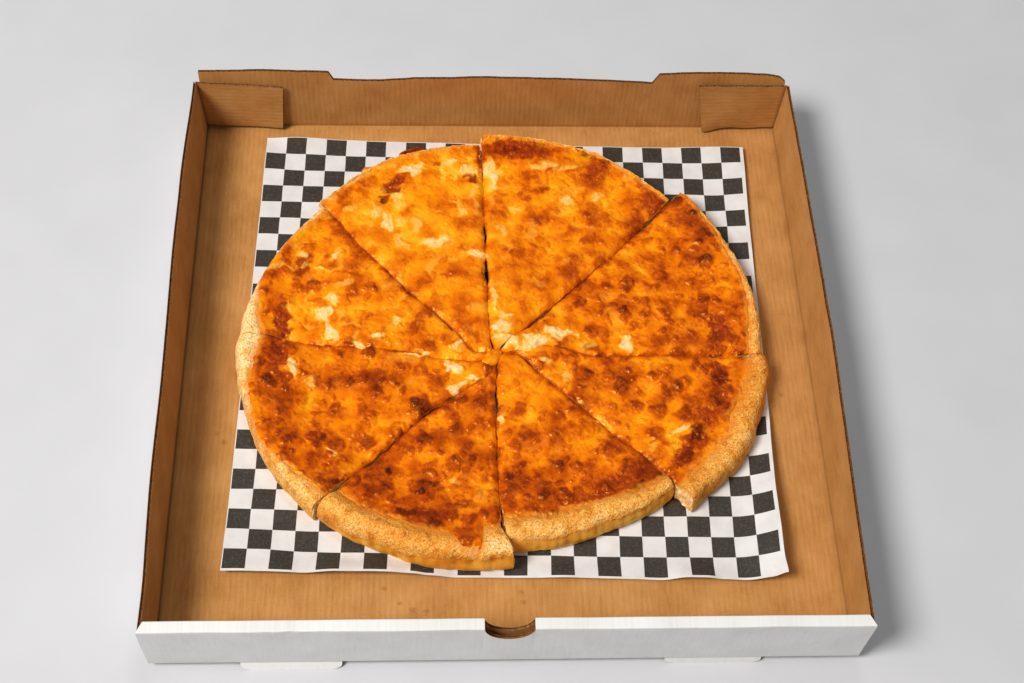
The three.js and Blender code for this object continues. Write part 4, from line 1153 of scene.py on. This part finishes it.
# ---- Materials ----
class Surface:
    """A material's nodes. Every method adds a node and gives its output socket."""

    def __init__(self, name, **settings):
        self.material = bpy.data.materials.new(name)
        self.material.use_nodes = True
        self.tree = self.material.node_tree
        self.shader = self.tree.nodes["Principled BSDF"]
        for socket, value in settings.items():
            self.finish(socket.replace("_", " "), value)
        coords = self.tree.nodes.new("ShaderNodeTexCoord")
        scale = self.add("ShaderNodeVectorMath", operation="SCALE")
        self.put(scale, "Vector", coords.outputs["Object"])
        self.put(scale, "Scale", 1 / MM)
        self.place = scale.outputs["Vector"]        # millimetres in the frame of the whole

    def add(self, kind, **settings):
        node = self.tree.nodes.new(kind)
        for name, value in settings.items():
            setattr(node, name, value)
        return node

    def put(self, node, socket, value):
        """Sets a node's input: a link from another node's output, or a constant."""
        if isinstance(value, bpy.types.NodeSocket):
            self.tree.links.new(value, node.inputs[socket])
        else:
            node.inputs[socket].default_value = value

    def finish(self, socket, value):
        self.put(self.shader, socket, value)

    def mark(self, name):
        """A mark of the mesh."""
        return self.add("ShaderNodeAttribute", attribute_name=name).outputs["Fac"]

    def noise(self, size, detail=3.0, rough=0.55, stretch=(1, 1, 1), at=None, twist=0.0):
        """Noise whose bumps are about size millimetres, from 0 to 1."""
        mapping = self.add("ShaderNodeMapping")
        self.put(mapping, "Vector", at or self.place)
        self.put(mapping, "Scale", tuple(1 / size / part for part in stretch))
        node = self.add("ShaderNodeTexNoise")
        self.put(node, "Vector", mapping.outputs["Vector"])
        settings = {"Scale": 1.0, "Detail": detail, "Roughness": rough, "Distortion": twist}
        for socket, value in settings.items():
            self.put(node, socket, value)
        return node.outputs["Fac"]

    def spots(self, size):
        """Distance to the nearest of random spots about size apart, as part of size."""
        node = self.add("ShaderNodeTexVoronoi")
        self.put(node, "Vector", self.place)
        self.put(node, "Scale", 1 / size)
        return node.outputs["Distance"]

    def combine(self, operation, a, b=0.0, clamp=False):
        node = self.add("ShaderNodeMath", operation=operation, use_clamp=clamp)
        self.put(node, 0, a)
        self.put(node, 1, b)
        return node.outputs[0]

    def plus(self, a, b, clamp=False):
        return self.combine("ADD", a, b, clamp)

    def minus(self, a, b):
        return self.combine("SUBTRACT", a, b)

    def times(self, a, b):
        return self.combine("MULTIPLY", a, b)

    def scaled(self, value, low, high, to_low=0.0, to_high=1.0):
        """Takes low..high to to_low..to_high, clamped."""
        node = self.add("ShaderNodeMapRange")
        ranges = {"Value": value, "From Min": low, "From Max": high, "To Min": to_low, "To Max": to_high}
        for socket, number in ranges.items():
            self.put(node, socket, number)
        return node.outputs["Result"]

    def ramp(self, value, stops):
        """Colour for a value through (value, sRGB colour) stops."""
        node = self.add("ShaderNodeValToRGB")
        self.put(node, "Fac", value)
        while len(node.color_ramp.elements) < len(stops):
            node.color_ramp.elements.new(0.5)
        for element, (at, colour) in zip(node.color_ramp.elements, stops):
            element.position = at
            element.color = tone_of(colour)
        return node.outputs["Color"]

    def blend(self, share, a, b, mode="MIX"):
        """Colour a turned into b by share."""
        node = self.add("ShaderNodeMix", data_type="RGBA", blend_type=mode)
        self.put(node, 0, share)
        for socket, colour in ((6, a), (7, b)):
            self.put(node, socket, tone_of(colour) if isinstance(colour, tuple) else colour)
        return node.outputs[2]

    def bump(self, *heights):
        """Sets the normal from (height, millimetres) pairs."""
        normal = None
        for height, size in heights:
            node = self.add("ShaderNodeBump")
            self.put(node, "Height", height)
            self.put(node, "Distance", size * MM)
            self.put(node, "Strength", 1.0)
            if normal:
                self.put(node, "Normal", normal)
            normal = node.outputs["Normal"]
        self.finish("Normal", normal)


def tone_of(srgb):
    """An sRGB colour of 0 to 255 as a linear one."""
    parts = [c / 255 for c in srgb]
    return tuple(c / 12.92 if c <= 0.04045 else ((c + 0.055) / 1.055) ** 2.4 for c in parts) + (1.0,)


def cheese_material():
    m = Surface("melted_cheese", Specular_Tint=(1.0, 0.66, 0.12, 1.0), Subsurface_Weight=0.25,
                Subsurface_Radius=(3.0, 1.2, 0.3), Subsurface_Scale=MM)
    small, tiny = m.noise(2.4, 3, 0.6), m.noise(0.9, 2, 0.6)
    wobble, fleck = m.minus(small, 0.5), m.minus(tiny, 0.5)

    def edge(mark, roughness, low, high):
        """How much of a mark covers a place, with a ragged edge."""
        return m.scaled(m.plus(m.mark(mark), m.times(wobble, roughness)), low, high)

    # Golden to dark brown, the more grainy the browner.
    browned = m.mark("tone")
    tone = m.plus(browned, m.times(wobble, m.scaled(browned, 0.2, 0.7, 0.06, 0.24)))
    tone = m.plus(tone, m.times(fleck, m.scaled(browned, 0.2, 0.7, 0.02, 0.16)), True)
    colour = m.ramp(tone, [
        (0.0, (248, 192, 56)), (0.14, (247, 168, 24)), (0.28, (243, 143, 8)), (0.45, (226, 112, 4)),
        (0.6, (190, 78, 3)), (0.76, (150, 51, 6)), (0.95, (96, 26, 6)),
    ])
    colour = m.blend(m.times(edge("film", 0.9, 0.2, 1.0), 0.6), colour, (236, 148, 44))
    # Sauce: an orange stain, and inside it red with pale grains.
    colour = m.blend(edge("sauce", 0.5, 0.05, 0.6), colour, (172, 64, 8))
    red = m.ramp(m.noise(3.2, 3, 0.6), [
        (0.3, (92, 20, 5)), (0.45, (134, 36, 8)), (0.6, (166, 52, 12)), (0.7, (200, 84, 34)),
        (0.8, (236, 150, 104)),
    ])
    colour = m.blend(m.times(edge("sauce", 0.7, 0.25, 0.95), 0.9), colour, red)
    # Milky cheese: a yellow fringe, and inside it cream.
    colour = m.blend(edge("cream", 0.5, 0.08, 0.85), colour, (250, 186, 62))
    milky = m.ramp(m.noise(3.0, 3), [
        (0.3, (246, 180, 96)), (0.46, (248, 204, 138)), (0.6, (249, 216, 168)), (0.74, (238, 192, 158)),
    ])
    colour = m.blend(m.times(edge("cream", 0.7, 0.4, 1.1), 0.95), colour, milky)
    char = m.scaled(m.plus(m.mark("burnt"), m.times(fleck, 0.8)), 0.15, 1.0)
    colour = m.blend(m.times(char, 0.9), colour, (62, 17, 7))
    # Painted highlights: specks of light on the oil, weaker where it is dark.
    painted_glint = m.times(m.scaled(m.noise(1.5, 2, 0.5, twist=0.6), 0.63, 0.72), m.mark("wet"))
    colour = m.blend(m.times(painted_glint, m.scaled(browned, 0.5, 0.9, 0.42, 0.12)), colour, (253, 188, 84))
    # The cut faces: cheese over sauce.
    depth = m.mark("depth")
    side = m.ramp(depth, [
        (0.0, (186, 84, 12)), (0.4, (206, 116, 34)), (0.75, (150, 58, 16)), (1.0, (104, 30, 8)),
    ])
    colour = m.blend(m.scaled(depth, 0.02, 0.25), colour, side)
    m.finish("Base Color", colour)
    m.finish("Specular IOR Level", m.scaled(m.mark("burnt"), 0.1, 0.8, 0.42, 0.1))
    m.finish("Roughness", m.scaled(m.noise(4, 3), 0.32, 0.68, 0.2, 0.36))
    rough = m.scaled(m.mark("wet"), 0.2, 1.0, 0.3, 1.0)
    m.bump((m.times(m.noise(2.4, 2, 0.5), rough), 0.5), (m.times(m.noise(1.2, 2, 0.5), rough), 0.1))
    return m.material


def crust_material():
    m = Surface("baked_crust", Specular_IOR_Level=0.12)
    grain, broad = m.noise(1.0, 2, 0.6), m.noise(7, 3)
    grainy = m.mark("grain")
    # Pale to brown, and golden on the smooth side.
    toast = m.plus(m.mark("toast"), m.times(m.minus(broad, 0.5), 0.4))
    toast = m.plus(toast, m.times(m.minus(grain, 0.5), m.scaled(grainy, 0, 1, 0.3, 0.8)), True)
    colour = m.ramp(toast, [
        (0.0, (250, 216, 150)), (0.25, (241, 172, 74)), (0.5, (218, 134, 34)), (0.75, (184, 92, 18)),
        (1.0, (128, 54, 12)),
    ])
    golden = m.ramp(toast, [(0.1, (248, 196, 88)), (0.5, (232, 154, 44)), (0.9, (186, 98, 14))])
    colour = m.blend(m.mark("lower"), colour, golden)
    # Grains of meal, pale and dark.
    meal = m.times(m.scaled(m.spots(1.25), 0.38, 0.16), grainy)
    colour = m.blend(m.times(meal, 0.5), colour, (253, 222, 150))
    husk = m.times(m.scaled(m.noise(1.3, 2, 0.5), 0.53, 0.64), grainy)
    colour = m.blend(m.times(husk, 0.62), colour, (178, 94, 22))
    # Grease from the cheese, and the crumb at the cuts.
    stain = m.scaled(m.plus(m.mark("stain"), m.times(m.minus(broad, 0.5), 0.8)), 0.2, 1.0)
    grease = m.ramp(grain, [(0.35, (196, 92, 16)), (0.65, (236, 146, 44))])
    colour = m.blend(m.times(stain, 0.7), colour, grease)
    crumb = m.ramp(m.noise(1.8, 4, 0.6), [
        (0.3, (206, 130, 58)), (0.46, (240, 186, 112)), (0.65, (250, 222, 166)),
    ])
    m.finish("Base Color", m.blend(m.mark("inside"), colour, crumb))
    m.finish("Roughness", m.scaled(m.noise(5), 0.3, 0.7, 0.5, 0.75))
    m.bump((m.noise(0.9, 2, 0.6), 0.12), (m.times(m.scaled(m.spots(1.25), 0.5, 0.1), grainy), 0.24))
    return m.material


def paper_material():
    m = Surface("deli_paper", Specular_IOR_Level=0.3, Roughness=0.5)
    # A square wave each way, within the print's reach. A check is black where the two agree.
    squares, inside = [], []
    for name, (low, high) in PRINT.items():
        line = m.plus(m.mark(name), m.times(m.minus(m.noise(40, 2), 0.5), 1.2))
        wave = m.combine("PINGPONG", m.plus(m.combine("DIVIDE", line, 2 * CHECK), 0.25), 0.5)
        squares.append(m.scaled(wave, 0.2465, 0.2535))
        past_low, before_high = (m.combine(way, m.mark(name), end) for way, end in
                                 (("GREATER_THAN", low), ("LESS_THAN", high)))
        inside.append(m.times(past_low, before_high))
    same = m.minus(1.0, m.combine("ABSOLUTE", m.minus(*squares)))
    printed = m.times(same, m.times(*inside))
    fibre = m.noise(1.3, 4, 0.75)
    black = m.ramp(fibre, [(0.3, (40, 36, 32)), (0.55, (58, 53, 47)), (0.75, (92, 86, 76))])
    white = m.ramp(m.noise(9, 3), [(0.3, (209, 206, 203)), (0.7, (221, 219, 217))])
    m.finish("Base Color", m.blend(printed, white, black))
    m.bump((m.noise(16, 2), 0.6), (m.noise(0.8, 3), 0.05))
    return m.material


def board_material(name, colours, shade, ridge, greasy=()):
    """One face of the corrugated board. Its flutes show as stripes of painted shade, as dark as shade says,
    and stand out by ridge millimetres.
    """
    m = Surface(name, Specular_IOR_Level=0.2, Roughness=0.82)
    plane = m.add("ShaderNodeCombineXYZ")
    m.put(plane, "X", m.mark("across"))
    m.put(plane, "Y", m.mark("along"))
    flat = plane.outputs["Vector"]
    fibre, streak = m.noise(1.2, 4, 0.7, at=flat), m.noise(1.5, 3, 0.6, (1, 9, 1), at=flat)
    mottle = m.plus(m.times(m.noise(30, 4, 0.6, at=flat), 0.5), m.times(streak, 0.3))
    colour = m.ramp(m.plus(m.times(fibre, 0.2), mottle), colours)
    phase = m.times(m.mark("across"), 2 * math.pi / FLUTE)
    clear = m.scaled(m.noise(24, 2, at=flat), 0.35, 0.65, 0.2, 0.5)
    flute = m.times(m.plus(m.combine("SINE", phase), 1.0), clear)
    # Painted shade: the flutes darken the colour in stripes.
    colour = m.blend(m.times(flute, shade), colour, (96, 56, 26), "MULTIPLY")
    # Painted shade in the creases at folds and edges.
    colour = m.blend(m.mark("crease"), colour, (52, 28, 10))
    for x, y, size in greasy:
        away = m.add("ShaderNodeVectorMath", operation="DISTANCE")
        m.put(away, 0, flat)
        m.put(away, 1, (x + GREASE_SHIFT, y, 0))
        near = m.combine("DIVIDE", away.outputs["Value"], size)
        ragged = m.plus(near, m.times(m.noise(1.4, 3, 0.6), 1.6))
        colour = m.blend(m.scaled(ragged, 1.6, 0.9, 0, 0.4), colour, (104, 52, 18))
    m.finish("Base Color", colour)
    m.bump((flute, ridge), (m.noise(22, 3), 0.5), (fibre, 0.04))
    return m.material


def cut_material():
    m = Surface("board_edge", Specular_IOR_Level=0.1, Roughness=0.9)
    browns = [(0.3, (92, 58, 32)), (0.55, (132, 88, 50)), (0.75, (170, 122, 76))]
    m.finish("Base Color", m.ramp(m.noise(1.5, 3), browns))
    m.bump((m.noise(0.6, 3), 0.1))
    return m.material


def floor_material():
    m = Surface("pale_floor", Specular_IOR_Level=0.2, Roughness=0.6)
    m.finish("Base Color", m.ramp(m.noise(60, 2), [(0.3, (196, 196, 199)), (0.7, (200, 200, 203))]))
    return m.material


# ---- The object ----
KRAFT_COLOURS = [(0.35, (167, 112, 54)), (0.5, (186, 131, 71)), (0.65, (199, 145, 85))]
WHITE_COLOURS = [(0.35, (215, 214, 210)), (0.5, (224, 223, 221)), (0.65, (230, 230, 229))]
cheese_finish, crust_finish, paper_finish = cheese_material(), crust_material(), paper_material()
board_finish = [
    board_material("kraft_face", KRAFT_COLOURS, 0.1, 0.05, GREASE),
    board_material("white_face", WHITE_COLOURS, 0.01, 0.015),
    cut_material(),
]
for number, piece in enumerate(SLICES, 1):
    cheese(number, piece).piece(f"cheese_top_{number}", f"cheese_{number}", "cheese", [cheese_finish])
    dough(number, piece).piece(f"crust_{number}", f"dough_{number}", "crust", [crust_finish])
paper().piece("checked_paper", "paper", "deli_paper", [paper_finish])
tray().piece("folded_tray", "tray", "board", board_finish)


# ---- Stage ----
FLOOR_SIZE = 14.0               # metres, as all of the stage
# The camera was solved in the tray's frame from the corners of the print, so it is tilted as the tray is.
LENS = 56.14
CAMERA_AT = (-0.03655, -0.49756, 0.80142)
CAMERA_TURN = (33.41, -2.22, -1.57)     # degrees
BACKGROUND = 0.25

bpy.ops.mesh.primitive_plane_add(size=FLOOR_SIZE, location=(0, 0, 0))
floor = bpy.context.object
floor.name = "floor"
floor.data.materials.append(floor_material())

scene = bpy.context.scene
camera = bpy.data.objects.new("camera", bpy.data.cameras.new("camera"))
scene.collection.objects.link(camera)
camera.data.lens = LENS
camera.data.clip_start = 0.01
look = Euler([math.radians(turn) for turn in CAMERA_TURN]).to_matrix().to_4x4()
camera.matrix_world = Matrix.Translation(CAMERA_AT) @ Matrix.Rotation(STAND_TILT, 4, "X") @ look
scene.camera = camera


def lamp(name, at, size, power, colour):
    """A round area lamp that is aimed at the object."""
    light = bpy.data.lights.new(name, "AREA")
    light.shape = "DISK"
    light.size, light.energy, light.color = size, power, colour
    obj = bpy.data.objects.new(name, light)
    scene.collection.objects.link(obj)
    obj.location = at
    obj.rotation_euler = (-Vector(at)).to_track_quat("-Z", "Y").to_euler()


lamp("key", at=(-1.55, -0.85, 2.43), size=1.1, power=96, colour=(1.0, 0.98, 0.95))
lamp("top", at=(0.15, 0.3, 1.65), size=0.3, power=3, colour=(1.0, 0.99, 0.97))
world = bpy.data.worlds.new("studio")
world.use_nodes = True
world.node_tree.nodes["Background"].inputs["Color"].default_value = (1, 1, 1, 1)
world.node_tree.nodes["Background"].inputs["Strength"].default_value = BACKGROUND
scene.world = world
scene.view_settings.view_transform = "Standard"
